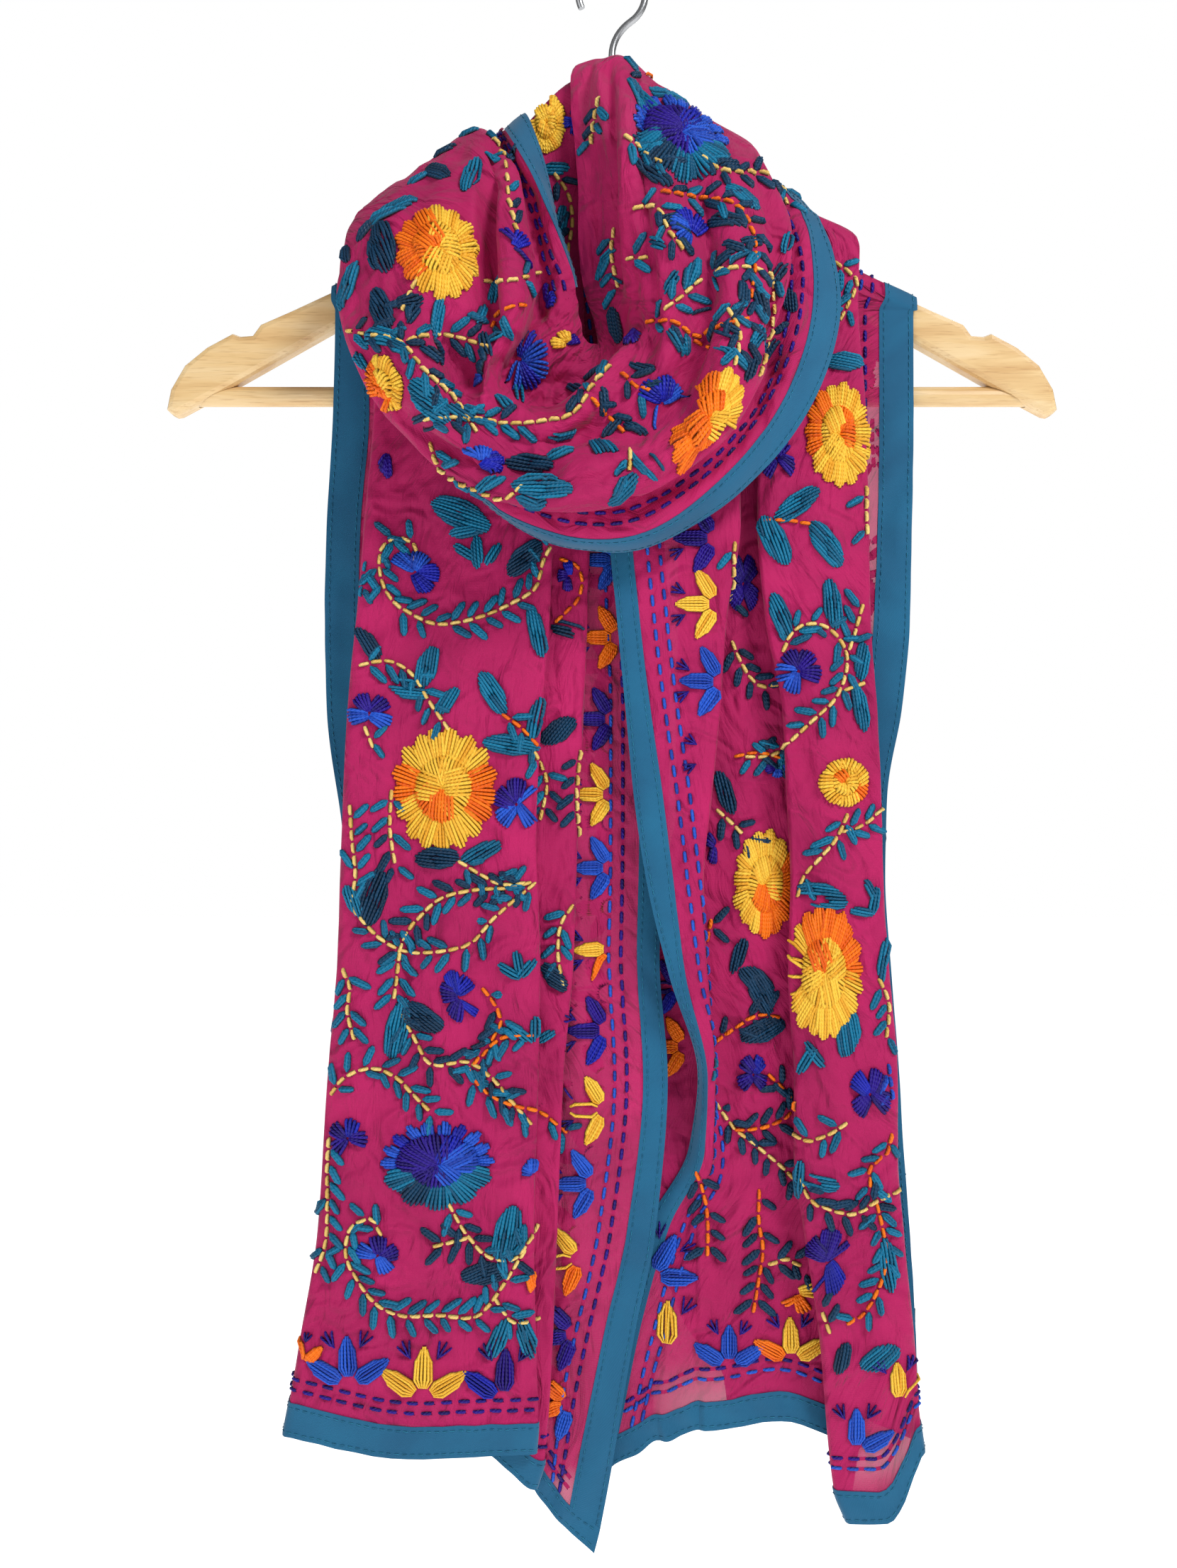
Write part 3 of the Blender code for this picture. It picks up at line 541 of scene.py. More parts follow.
def beech_material(settings):
    """Planed beech under a thin clear varnish: pale, with fine long pores and flecks."""
    material, tree = new_material("varnished_beech")
    place = node(tree, "ShaderNodeTexCoord")
    long_rings, long_pores = (
        node(tree, "ShaderNodeMapping", {"Vector": (place, "Object"), "Scale": (x, 1.0, 1.0)})
        for x in (0.12, 0.05))
    rings = noise(tree, (long_rings, 0), 130.0, 5.0, distortion=0.6)
    pores = noise(tree, (long_pores, 0), 1400.0, 2.0)
    wood = ramp(tree, (rings, 0), ((0.3, settings.wood_shade_hex), (0.5, settings.wood_hex),
                                   (0.72, "#E6CB9C")))
    dark = ramp(tree, (pores, 0), ((0.3, "#B99468"), (0.45, "#FFFFFF")))
    surface(tree, {"Base Color": (tinted(tree, wood, dark, 0.35), 2), "Roughness": 0.45,
                   "Coat Weight": 0.25, "Coat Roughness": 0.25,
                   "Normal": (bump(tree, (pores, 0), 0.15, 0.0001), 0)})
    return material


def wire_material():
    """Zinc-plated steel wire, drawn: grey and fairly bright, with fine lengthwise marks."""
    material, tree = new_material("plated_wire")
    place = node(tree, "ShaderNodeTexCoord")
    marks = noise(tree, (place, "Object"), 1500.0, 3.0)
    rough = node(tree, "ShaderNodeMapRange", {"Value": (marks, 0), "To Min": 0.22,
                                              "To Max": 0.38})
    surface(tree, {"Base Color": rgba("#B9BBBE"), "Metallic": 1.0, "Roughness": (rough, 0)})
    return material


# ---- meshes ----

def add_object(name, data):
    thing = bpy.data.objects.new(name, data)
    bpy.context.scene.collection.objects.link(thing)
    return thing


def add_mesh(name, points_mm, faces, materials, uv_mm=None, face_slots=None):
    mesh = bpy.data.meshes.new(name)
    points = np.asarray(points_mm, np.float32).reshape(-1, 3) * MM
    faces = np.asarray(faces, np.int32)
    mesh.vertices.add(len(points))
    mesh.vertices.foreach_set("co", points.ravel())
    mesh.loops.add(faces.size)
    mesh.loops.foreach_set("vertex_index", faces.ravel())
    mesh.polygons.add(len(faces))
    mesh.polygons.foreach_set("loop_start", np.arange(0, faces.size, faces.shape[1]))
    mesh.polygons.foreach_set("loop_total", np.full(len(faces), faces.shape[1]))
    for material in materials:
        mesh.materials.append(material)
    if face_slots is not None:
        mesh.polygons.foreach_set("material_index", np.asarray(face_slots, np.int32))
    if uv_mm is not None:
        layer = mesh.uv_layers.new(name="cloth")
        uv = np.asarray(uv_mm, np.float32).reshape(-1, 2)[faces.ravel()] * MM
        layer.data.foreach_set("uv", uv.ravel())
    mesh.update(calc_edges=True)
    mesh.validate()
    mesh.shade_smooth()
    return add_object(name, mesh)


def quads(*shape):
    """Faces of a grid of points, or of many grids of one shape."""
    number = np.arange(math.prod(shape)).reshape(shape)
    return np.stack([number[..., :-1, :-1], number[..., :-1, 1:], number[..., 1:, 1:],
                     number[..., 1:, :-1]], axis=-1).reshape(-1, 4)


def add_sheet(name, points, uv, material):
    """An open sheet of cloth from a grid of points."""
    return add_mesh(name, points, quads(*points.shape[:2]), [material], uv)


def add_tape(name, points, normals, uv, half, material):
    """A folded tape: a closed strip about its middle surface, thin at its outer fold.

    half is its half thickness, one for each column."""
    rows, columns = points.shape[:2]
    lift = normals * np.asarray(half)[None, :, None]
    top = quads(rows, columns)
    low = top[:, ::-1] + rows * columns
    number = np.arange(rows * columns).reshape(rows, columns)
    rim = np.concatenate([number[0, :], number[1:, -1], number[-1, -2::-1], number[-2:0:-1, 0]])
    after = np.roll(rim, -1)
    sides = np.stack([rim, rim + rows * columns, after + rows * columns, after], axis=1)
    both = np.concatenate([points + lift, points - lift])
    made = add_mesh(name, both, np.concatenate([top, low, sides]), [material],
                    np.concatenate([uv, uv]))
    made.data.set_sharp_from_angle(angle=math.radians(60))
    return made


class Sheet:
    """A fine grid of cloth, its normals and its flat coordinates."""

    def __init__(self, points):
        self.points = points
        self.normals = sheet_normals(points)
        across = arc(points, 1)
        along = arc(points, 0)
        self.uv = np.stack([across, np.broadcast_to(along.mean(axis=1, keepdims=True),
                                                    across.shape)], axis=-1)

    def part(self, rows, columns):
        return self.points[rows, columns], self.normals[rows, columns], self.uv[rows, columns]


# ---- cloth ----

ROWS_PER_STATION = 14    # fine rows to each station of a tail or of the loop
LAYER_STEPS = 8          # fine columns to each half of a layer
TIP_STEPS = 3            # and to each half of a fold's tip
TAPE_STEPS = 4           # and to a tape
LOOP_STEPS = 11          # and between two lines of the loop
UNDERLAP = 3             # fine columns of cloth that run on inside the tape
TAPE_HALF = (0.3, 0.55, 0.6, 0.55, 0.45)    # half thickness, from its outer fold to its seam
HEM_TAPE_HALF = 0.55
CREASE_TOP = -190.0      # the tails' creases die out at this height, towards the arms,
CREASE_FADE = 60.0       # over this distance
CREASE_PITCH = 5.0       # between the points of a crease on the loop
SHEETS = {}              # the fine sheets, for the thread work

# Soft vertical rolls in both tails: height, half width, then x, z from top to bottom.
TAIL_CREASES = (
    (3.0, 14, ((-112, -230), (-118, -380), (-122, -560), (-128, -700))),
    (-2.4, 8, ((-96, -260), (-101, -380), (-98, -470), (-100, -560))),
    (-1.6, 5, ((-132, -300), (-134, -420), (-140, -560), (-142, -680))),
    (2.6, 12, ((-70, -290), (-74, -450), (-84, -600), (-92, -715))),
    (-2.2, 7, ((-58, -400), (-62, -520), (-64, -620), (-70, -720))),
    (1.8, 7, ((-46, -310), (-44, -420), (-48, -560), (-50, -680))),
    (-1.5, 4, ((-88, -480), (-104, -520), (-112, -566), (-108, -610))),
    (-1.4, 4, ((-70, -560), (-80, -600), (-78, -650), (-84, -690))),
    (1.2, 4, ((-120, -590), (-112, -640), (-116, -690))),
    (1.8, 8, ((-24, -300), (-22, -420), (-14, -560), (-18, -700))),
    (-1.8, 5, ((-14, -320), (-12, -440), (-4, -560), (-12, -690))),
    (-1.6, 8, ((0, -330), (2, -450), (0, -600))),
    (2.2, 10, ((84, -250), (98, -400), (104, -560), (106, -700))),
    (-2.2, 6, ((92, -250), (88, -330), (94, -430), (88, -540), (92, -640), (86, -720))),
    (1.6, 6, ((60, -300), (66, -420), (66, -540), (60, -700))),
    (-1.8, 5, ((54, -420), (58, -500), (56, -600), (44, -710))),
    (2.2, 9, ((122, -480), (128, -620), (132, -730))),
    (-1.8, 5, ((116, -600), (120, -680), (124, -750))),
    (-1.5, 6, ((112, -220), (116, -330), (124, -420), (126, -520))),
    (-1.3, 4, ((100, -440), (92, -470), (96, -500))),
    (1.0, 4, ((70, -640), (92, -650), (108, -670))),
)


def tail_steps(folds):
    """Fine steps to each interval of a tail's section: tapes, layers and tips."""
    layers = len(folds) - 3
    steps = [TAPE_STEPS]
    for layer in range(layers):
        if layer > 0:
            steps.append(TIP_STEPS)
        steps += [LAYER_STEPS, LAYER_STEPS]
        if layer < layers - 1:
            steps.append(TIP_STEPS)
    steps.append(TAPE_STEPS)
    return steps


def make_tail_sheet(side):
    tables = {
        "left": (LEFT_TAIL, LEFT_HEM, LEFT_SAG, LEFT_DEPTH, LEFT_RIDGE, LEFT_SEAT),
        "right": (RIGHT_TAIL, RIGHT_HEM, RIGHT_SAG, RIGHT_DEPTH, RIGHT_RIDGE, RIGHT_SEAT),
    }
    grid = tail_grid(*tables[side])
    along = fine_numbers(grid.shape[0], ROWS_PER_STATION)
    across = fine_numbers(grid.shape[1], tail_steps(LEFT_RIDGE))
    points = read_grid(grid, along, across)
    # The creases die out towards the arms, where the cloth is pulled straight.
    fade = np.clip((CREASE_TOP - points[..., 2]) / CREASE_FADE, 0, 1)
    height = crease_height(points[..., [0, 2]], TAIL_CREASES) * fade
    flat = Sheet(points)
    height += ruffle(flat.uv[..., 0], flat.uv[..., 1]) * fade
    points[..., 1] -= height
    return Sheet(points)


# Single layers that hang clear: strength, half width, then x, z along them.
SHEER = {
    "left": ((0.8, 9, ((-26, -750), (-20, -770))),),
    "right": ((1.0, 7, ((130, -165), (129, -240), (129, -330), (127, -420))),
              (0.8, 16, ((78, -340), (84, -380), (84, -430), (86, -480))),
              (0.7, 14, ((20, -720), (60, -716), (110, -716))),
              (0.7, 9, ((112, -745), (140, -735), (148, -720))),
              (0.5, 10, ((88, -520), (92, -560)))),
}


def paint_sheer(piece, side, points):
    """Mark where a tail hangs in a single layer, for its material."""
    sheer = crease_height(points[..., [0, 2]], SHEER[side])
    layer = piece.data.attributes.new("sheer", "FLOAT", "POINT")
    layer.data.foreach_set("value", np.clip(sheer, 0, 1).astype(np.float32).ravel())


def build_tail_cloth(side, cloth, tape):
    sheet = make_tail_sheet(side)
    SHEETS[side] = sheet
    hem = ROWS_PER_STATION
    made = {}
    inside = slice(TAPE_STEPS - UNDERLAP, UNDERLAP - TAPE_STEPS)
    points, _, uv = sheet.part(slice(hem - 1, None), inside)
    made[f"{side}_tail"] = add_sheet(f"{side}_tail_cloth", points, uv, cloth)
    paint_sheer(made[f"{side}_tail"], side, sheet.points[hem - 1:, inside])
    first, last = ("outer", "inner") if side == "left" else ("inner", "outer")
    hem_half = (HEM_TAPE_HALF,) * sheet.points.shape[1]
    strips = (
        (f"{side}_{first}_tape", slice(hem, None), slice(0, TAPE_STEPS + 1), TAPE_HALF),
        (f"{side}_{last}_tape", slice(hem, None), slice(-TAPE_STEPS - 1, None),
         TAPE_HALF[::-1]),
        (f"{side}_hem_tape", slice(0, hem + 1), slice(None), hem_half),
    )
    for name, rows, columns, half in strips:
        made[name] = add_tape(name + "_twill", *sheet.part(rows, columns), half, tape)
    return made


# Creases of the loop: height, half width, then x, z of points, those of the cowl as seen
# from the front and those of the band as seen from behind.
COWL_CREASES = (
    (3.6, 4.5, ((-69, -86), (-70, -116), (-71, -146), (-71, -172), (-66, -192))),
    (-8.5, 4.2, ((-59, -88), (-61, -112), (-62, -136), (-62, -160), (-60, -184), (-58, -206))),
    (3.4, 8, ((-50, -92), (-52, -118), (-51, -150), (-48, -184), (-44, -208))),
    (-2.5, 3.5, ((-40, -110), (-39, -140), (-36, -170), (-32, -192))),
    (-3.0, 5, ((-92, -104), (-100, -132), (-108, -158), (-104, -178))),
    (-8.0, 7, ((-96, -168), (-84, -186), (-76, -202), (-66, -218))),
    (4.6, 6.5, ((-132, -176), (-118, -190), (-98, -206), (-80, -222), (-62, -237), (-40, -245),
                (-16, -247), (8, -238))),
    (-8.0, 5, ((-118, -210), (-104, -232), (-86, -245), (-62, -252), (-40, -253), (-20, -256))),
    (4.0, 4.5, ((-108, -244), (-90, -258), (-68, -266), (-44, -269), (-16, -268), (10, -258))),
    (-3.0, 3.4, ((-124, -146), (-128, -168), (-124, -196), (-112, -222))),
    (2.4, 4, ((-112, -126), (-118, -150), (-117, -172))),
    (4.0, 5, ((-58, -206), (-50, -224), (-34, -232), (-18, -225), (-6, -211), (4, -199),
              (10, -186))),
    (-5.5, 4.4, ((-62, -216), (-52, -238), (-34, -241), (-14, -236), (0, -224), (12, -208))),
    (3.4, 4.5, ((8, -64), (7, -96), (7, -130), (9, -160), (12, -186))),
    (-5.5, 4.4, ((17, -60), (16, -96), (16, -130), (19, -160), (21, -188), (12, -214))),
    (2.6, 6, ((27, -70), (29, -100), (31, -134), (31, -168), (27, -198), (14, -222))),
    (-5.5, 4.4, ((37, -90), (44, -108), (48, -134), (48, -165), (43, -196), (30, -224),
                 (8, -246))),
    (3.2, 6, ((55, -90), (61, -118), (63, -150), (61, -182), (52, -210), (34, -238))),
    (-7.5, 4.4, ((72, -98), (81, -122), (85, -152), (83, -184), (77, -210), (64, -236),
                 (42, -257), (12, -270))),
    (-5.0, 3.4, ((-2, -46), (-1, -80), (1, -120), (4, -170))),
    (-3.0, 2.8, ((12, -44), (20, -58), (26, -74))),
    (-3.0, 2.8, ((-10, -46), (-14, -66), (-15, -90))),
    (3.2, 4, ((84, -98), (93, -124), (96, -154), (92, -184), (85, -212), (72, -238))),
    (2.6, 4, ((-40, -214), (-26, -218), (-14, -210))),
    (-3.4, 3, ((-40, -206), (-30, -212), (-18, -206))),
    (-2.8, 3, ((-34, -262), (-10, -259), (12, -250), (34, -234), (46, -218))),
    (1.8, 3, ((-30, -254), (-6, -250), (18, -240), (36, -222))),
    (-2.4, 2.6, ((-6, -276), (14, -268), (36, -252), (56, -232))),
    (-2.4, 2.8, ((60, -212), (66, -200), (73, -184), (74, -168))),
    (1.8, 3, ((24, -146), (34, -142), (44, -146))),
    (-2.2, 2.4, ((22, -112), (32, -108), (42, -112))),
    (-2.2, 2.4, ((26, -206), (34, -204), (40, -208))),
    (-2.0, 3, ((-10, -80), (-8, -110), (-7, -140), (-8, -165))),
    (-2.4, 3, ((-26, -264), (-44, -272), (-60, -270), (-76, -262))),
    (-2.4, 3, ((-108, -118), (-92, -112), (-78, -112))),
    (-2.2, 3, ((-78, -172), (-92, -170), (-104, -176))),
    (2.0, 3.5, ((-104, -184), (-92, -192), (-84, -204))),
)
BACK_CREASES = (
    (-2.2, 5, ((66, -110), (30, -116), (-10, -118), (-60, -112), (-92, -122))),
    (1.8, 6, ((62, -96), (20, -102), (-20, -104), (-70, -100))),
    (-2.0, 4, ((76, -132), (36, -140), (-10, -142), (-60, -136), (-96, -138))),
    (1.6, 4, ((50, -150), (10, -156), (-30, -152), (-80, -148))),
    (-1.5, 3, ((40, -84), (10, -86), (-24, -88), (-50, -92))),
)


def dropped(needle, creases):
    """Crease lines given as seen from one side, as points on the needle's cloth."""
    made = []
    for height, width, path in creases:
        spots = [needle.place(x, z) for x, z in smooth_path(path, CREASE_PITCH)[0]]
        line = [spot[0] for spot in spots if spot is not None]
        if len(line) > 2:
            made.append((height, width, line))
    return made


def ruffle(across, along):
    """Small uneven wrinkles of a drawn crepe, in millimetres: they run mostly lengthwise.

    The sum of sines at lengths with no common measure doesn't come round again."""
    bend = 5 * np.sin(along / 31 + across / 47) + 3 * np.sin(along / 17 - across / 23 + 1.3)
    folds = np.sin((across + bend) / 2.9) + 0.7 * np.sin((across * 0.8 - bend + along / 7) / 1.9)
    cross = np.sin((along + 1.4 * bend) / 5.2 + across / 9)
    strength = 0.5 + 0.5 * np.sin(along / 39 + 2 * np.sin(across / 33))
    return 0.45 * folds * strength + 0.38 * cross * (1 - strength)


def loop_row(name):
    """The fine row of the loop's sheet that lies at a station."""
    return ROWS_PER_STATION * list(LOOP).index(name)


def make_loop_sheet():
    """The whole loop as one sheet, from the cowl's left ridge and all the way round."""
    ring = np.array(list(LOOP.values()), float)
    # It goes on past its ends on both sides, so that it is smooth where it closes.
    closed = np.concatenate([ring[-3:], ring, ring[:4]])
    count, columns = ring.shape[:2]
    along = 3 + np.linspace(0, count, count * ROWS_PER_STATION + 1)
    steps = [TAPE_STEPS] + [LOOP_STEPS] * (columns - 3) + [TAPE_STEPS]
    points = read_grid(closed, along, fine_numbers(columns, steps), True)
    sheet = Sheet(points)
    needle = Needle("", sheet, LOOP_CURL, 1)
    creases = dropped(needle, COWL_CREASES)
    needle.behind = True
    creases += dropped(needle, BACK_CREASES)
    height = crease_height(points, creases) + ruffle(sheet.uv[..., 0], sheet.uv[..., 1])
    return Sheet(points + height[..., None] * sheet.normals)


def build_loop_cloth(cloth, tape):
    sheet = make_loop_sheet()
    SHEETS["loop"] = sheet
    made = {}
    ridge = loop_row(COWL_END)
    front, back = slice(0, ridge + 1), slice(ridge, None)
    inside = slice(TAPE_STEPS, UNDERLAP - TAPE_STEPS)
    for name, rows in (("front_loop", front), ("neck_back", back)):
        points, _, uv = sheet.part(rows, inside)
        made[name] = add_sheet(name + "_cloth", points, uv, cloth)
    outer = slice(-TAPE_STEPS - 1, None)
    strips = (
        ("front_loop_tape", front, outer, TAPE_HALF[::-1]),
        ("neck_back_tape", slice(ridge, loop_row(BACK_TAPE_END) + 1), outer, TAPE_HALF[::-1]),
        ("front_loop_inner_tape", slice(0, loop_row(INNER_TAPE_END) + 1),
         slice(0, TAPE_STEPS + 1), TAPE_HALF),
    )
    for name, rows, columns, half in strips:
        made[name] = add_tape(name + "_twill", *sheet.part(rows, columns), half, tape)
    return made


# ---- thread work ----

# Yarn colours, one letter each: the name of the dye lot, its light and its dark strands.
YARNS = {
    "y": ("marigold_yellow", "#FDCB42", "#EBA424"), "c": ("cream", "#F4D07A", "#DDB056"),
    "o": ("orange", "#FF7A08", "#E85C04"), "b": ("sky_blue", "#2059D0", "#1338A0"),
    "r": ("royal_blue", "#1722B0", "#0E1484"), "v": ("violet", "#280A8A", "#180460"),
    "t": ("teal", "#03769E", "#034E70"), "d": ("deep_teal", "#073C5E", "#062B47"),
    "s": ("seam_teal", "#2C8DB4", "#1F7098"),
}
YARN_ORDER = tuple(YARNS)
PLY_LENGTH = 2.0           # the plies wind round each other once in this length

EYE = np.array((-11.8, -800.0, -412.7))    # the motifs' places are laid out as seen from here
SIGHT = 1200.0             # how far the eye looks
LEAST_UP = 0.15            # cloth that lies flatter than this takes no motif
HOVER = 2.5                # a motif's drawing floats this high over the cloth,
CURL_OVER = 45.0           # and higher by the square of the distance over this,
CURL_UNDER = 25.0          # and cloth that falls away by the square over this still takes it
TAIL_CURL, LOOP_CURL = 0.3, 1.0    # times this, because the tails are flat and the loop is not
FOLD_LIMIT = 2.2           # a strand so many times longer than drawn has leapt over a fold

# A strand is four rings of four points each. Along it: the places of the rings, their share
# of its width and their height. Across it: the points, and the way round to each.
RING_PLACES = (0.0, 0.25, 0.82, 1.0)
RING_TAPER = (0.7, 1.0, 1.0, 0.8)
RING_LIFT = (-0.5, 0.25, 0.25, -0.4)
PROFILE = ((-0.5, 0.0), (-0.22, 0.9), (0.22, 0.9), (0.5, 0.0))    # across, up
PROFILE_GIRTH = (0.0, 1.1, 2.0, 3.1)
STRAND_WIDTHS = {"petal": 2.0, "bud": 1.7, "twig": 1.2, "leaf": 1.8, "leaflet": 1.9,
                 "stem": 2.1}
STRAND_RISE = 1.55
END_RAISED = 0.45          # the share of a raised strand's height that its ends keep
PETAL_PITCH = 1.9          # between the strands of a petal
LEAF_PITCH = 1.85
LONG_LEAF = 9.5            # a leaf of more than this to each half is worked in two lengths,
LEAF_LAP = 0.8             # which each run on by this past where they meet
STEM_PITCH = 6.4
STEM_HALF = 2.5            # half the length of a stem's stitch
LEAFLET_PITCH = 8.5        # between the pairs on a vine
LEAFLET_LENGTH = 10.0

# The two rings of a marigold: near and far end of a lobe as shares of the radius, height,
# and about how wide a lobe is.
MARIGOLD = ((0.4, 1.0, 0.0, 11), (0.0, 0.56, 1.5, 15))

# The petals of a lotus in the order of work, from the sepals to the base of the body: near
# and far end and half width as shares of the radius, how close the strands are at the near
# end, height, then the angle and yarn of each.
LOTUS = (
    (0.3, 0.98, 0.25, 0.4, 0.0, ((205, "t"), (238, "d"), (272, "t"), (305, "t"), (338, "t"))),
    (0.68, 1.0, 0.11, 0.8, 0.2, (
        (6, "b"), (25, "b"), (44, "b"), (63, "r"), (82, "b"), (101, "b"), (120, "b"),
        (139, "r"), (158, "b"), (177, "b"))),
    (0.0, 0.74, 0.2, 0.5, 0.7, ((172, "v"), (4, "b"))),
    (0.0, 0.74, 0.2, 0.5, 1.2, ((147, "v"),)),
    (0.0, 0.74, 0.2, 0.5, 0.7, ((30, "b"), (120, "v"), (62, "r"), (92, "v"))),
    (0.0, 0.5, 0.2, 0.6, 0.9, ((215, "v"), (262, "v"), (310, "b"))),
)

# Running rows: stitch and gap on the face, how much longer than its gaps a stitch is on the
# back, width and height of the yarn.
ROW_DASH = 5.6
ROW_GAP = 2.7
ROW_MORE = 1.5
ROW_YARN = (1.9, 1.1)
# Rows of each tail along its first long edge, its other one and its hem: distance from the
# binding's seam, yarn.
TAIL_ROWS = {
    "left": (((8, "v"), (14, "b")), ((8, "v"), (14, "b")), ((6.5, "v"), (11.5, "v"))),
    "right": (((7, "b"), (13, "b")), ((7, "v"), (13, "b")), ((11, "b"), (16, "v"))),
}
LOOP_OUTER_ROWS = ((7, "v"), (12.5, "v"))
LOOP_INNER_ROWS = ((6.5, "v"), (11.5, "v"))
# Machine stitching of the binding: stitch, gap, yarn, height of its middle, width, rise.
MACHINE_STITCH = (2.7, 1.1, "s", 0.6, 0.5, 0.3)
MACHINE_INSET = 2.3        # from an edge of the tape


class Needle:
    """Lays stitches on a sheet of cloth and joins them into one mesh.

    curl says how far the cloth may curve away under a motif."""

    def __init__(self, name, sheet, curl, seed):
        self.name = name
        self.curl = curl
        self.chance = np.random.default_rng(seed)
        self.tree = BVHTree.FromPolygons(sheet.points.reshape(-1, 3).tolist(),
                                         quads(*sheet.points.shape[:2]).tolist())
        self.behind = False
        self.lines, self.ups, self.slots, self.sizes = [], [], [], []

    def place(self, x, z):
        """Where a spot of the layout lies on the cloth: point, right, up and face normal."""
        eye = EYE * (1, -1, 1) if self.behind else EYE
        way = np.array((x, 0.0, z)) - eye
        hit, normal, _, _ = self.tree.ray_cast(Vector(eye), Vector(way).normalized(), SIGHT)
        if hit is None:
            return None
        normal = np.array(normal)
        if normal @ way > 0:
            normal = -normal
        up = np.array((0.0, 0.0, 1.0)) - normal[2] * normal
        length = np.linalg.norm(up)
        if length < LEAST_UP:
            return None
        up /= length
        right = np.cross(up, normal) * (-1 if self.behind else 1)
        return np.array(hit), right, up, normal

    def drop(self, spot, u, v):
        """The point of the cloth under a place of the motif's own flat drawing."""
        point, right, up, normal = spot
        far = u * u + v * v
        above = HOVER + self.curl * far / CURL_OVER
        start = point + right * u + up * v + normal * above
        hit, face, _, _ = self.tree.ray_cast(Vector(start), Vector(-normal),
                                             above + HOVER + self.curl * far / CURL_UNDER)
        if hit is None:
            return None, None
        face = np.array(face)
        return np.array(hit), face if face @ normal > 0 else -face

    def add(self, line, ups, yarn, width, rise):
        self.lines.append(line)
        self.ups.append(ups)
        self.slots.append(YARN_ORDER.index(yarn))
        self.sizes.append((width, rise))

    def stitch(self, spot, start, end, yarn, kind, bow=0.0, raised=0.0):
        """One strand from start to end of the flat drawing, bowed sideways.

        A strand that would run off the cloth, or far across a fold, is left out."""
        (u0, v0), (u1, v1) = start, end
        du, dv = u1 - u0, v1 - v0
        raised += self.chance.uniform(0.0, 0.4)
        line, ups = [], []
        for t, lift in zip(RING_PLACES, RING_LIFT):
            side = bow * 4 * t * (1 - t)
            point, face = self.drop(spot, u0 + du * t - dv * side, v0 + dv * t + du * side)
            if point is None:
                return
            line.append(point + face * (lift + raised * (1.0 if 0 < t < 1 else END_RAISED)))
            ups.append(face)
        length = np.linalg.norm(line[-1] - line[0])
        if length > FOLD_LIMIT * math.hypot(du, dv) + 2:
            return
        width = STRAND_WIDTHS[kind] * self.chance.uniform(0.9, 1.1)
        self.add(line, ups, yarn, width, STRAND_RISE)

    def finish(self, materials):
        """Join every strand into one mesh, with a slot for each yarn."""
        lines = np.array(self.lines)
        ups = np.array(self.ups)
        sizes = np.array(self.sizes)
        side = unit(np.cross(unit(np.gradient(lines, axis=1)), ups))
        taper = np.array(RING_TAPER)[None, :, None]
        rings = []
        for across, rise in PROFILE:
            rings.append(lines + side * across * sizes[:, 0, None, None] * taper
                         + ups * rise * sizes[:, 1, None, None] * taper)
        points = np.stack(rings, axis=2)
        uv = np.stack(np.broadcast_arrays(arc(lines, 1)[:, :, None], PROFILE_GIRTH), axis=-1)
        faces = quads(*points.shape[:3])
        slots = np.repeat(self.slots, len(faces) // len(lines))
        return add_mesh(self.name, points, faces, materials, uv, slots)


def turned(u, v, turn):
    c, s = math.cos(turn), math.sin(turn)
    return u * c - v * s, u * s + v * c


def plus(first, second):
    return first[0] + second[0], first[1] + second[1]


def lobe(needle, flower, turn, near, far, half, close_up, yarn, raised):
    """A rounded petal of strands side by side, a little closer at the flower's middle.

    flower is its spot, its squash across and up, and its turn."""
    spot, squash, whole = flower
    count = max(4, round(2 * half / PETAL_PITCH))
    lean = needle.chance.uniform(-0.3, 0.3) * half
    for i in range(count):
        share = (i + 0.5) / count * 2 - 1
        reach = far * (1 - 0.16 * share * share) * needle.chance.uniform(0.98, 1.02)
        ends = []
        for along, across in ((near, close_up * half * share + lean), (reach, half * share)):
            u, v = turned(along, across, turn)
            ends.append(turned(u * squash[0], v * squash[1], whole))
        needle.stitch(spot, *ends, yarn, "petal", 0.06 * share, raised)


def round_flower(spot, wide, high, turn):
    """A round flower's radius, and its spot, squash and turn."""
    radius = 0.5 * max(wide, high)
    return radius, (spot, (0.5 * wide / radius, 0.5 * high / radius), math.radians(turn))


def marigold(needle, spot, wide, high, turn, petals, inner):
    """A double marigold: a ring of lobed petals and a smaller one raised over it."""
    radius, flower = round_flower(spot, wide, high, turn)
    for ring, (near, far, raised, size) in zip((petals, inner), MARIGOLD):
        lobes = max(6, round(2 * math.pi * far * radius / size))
        each = 2 * math.pi / lobes
        for i in range(lobes):
            yarn = ring[i * len(ring) // lobes]
            turn_here = math.pi / 2 - (i + 0.5 + needle.chance.uniform(-0.1, 0.1)) * each
            lobe(needle, flower, turn_here, near * radius,
                 far * radius * needle.chance.uniform(0.96, 1.03), 0.48 * each * far * radius,
                 0.7, yarn, raised + 0.5 * (i % 2))


def floret(needle, spot, wide, high, turn, petals, first, sweep):
    """A small flower: pointed petals of a few strands, over a sweep of degrees about the
    direction first."""
    radius, flower = round_flower(spot, wide, high, turn)
    each = math.radians(sweep / len(petals))
    start = math.radians(first + sweep / 2)
    for i, yarn in enumerate(petals):
        lobe(needle, flower, start - (i + 0.5) * each, 0.06 * radius, radius,
             min(0.36 * each, 0.42) * radius, 0.35, yarn, 0.2 + 0.3 * (i % 2))


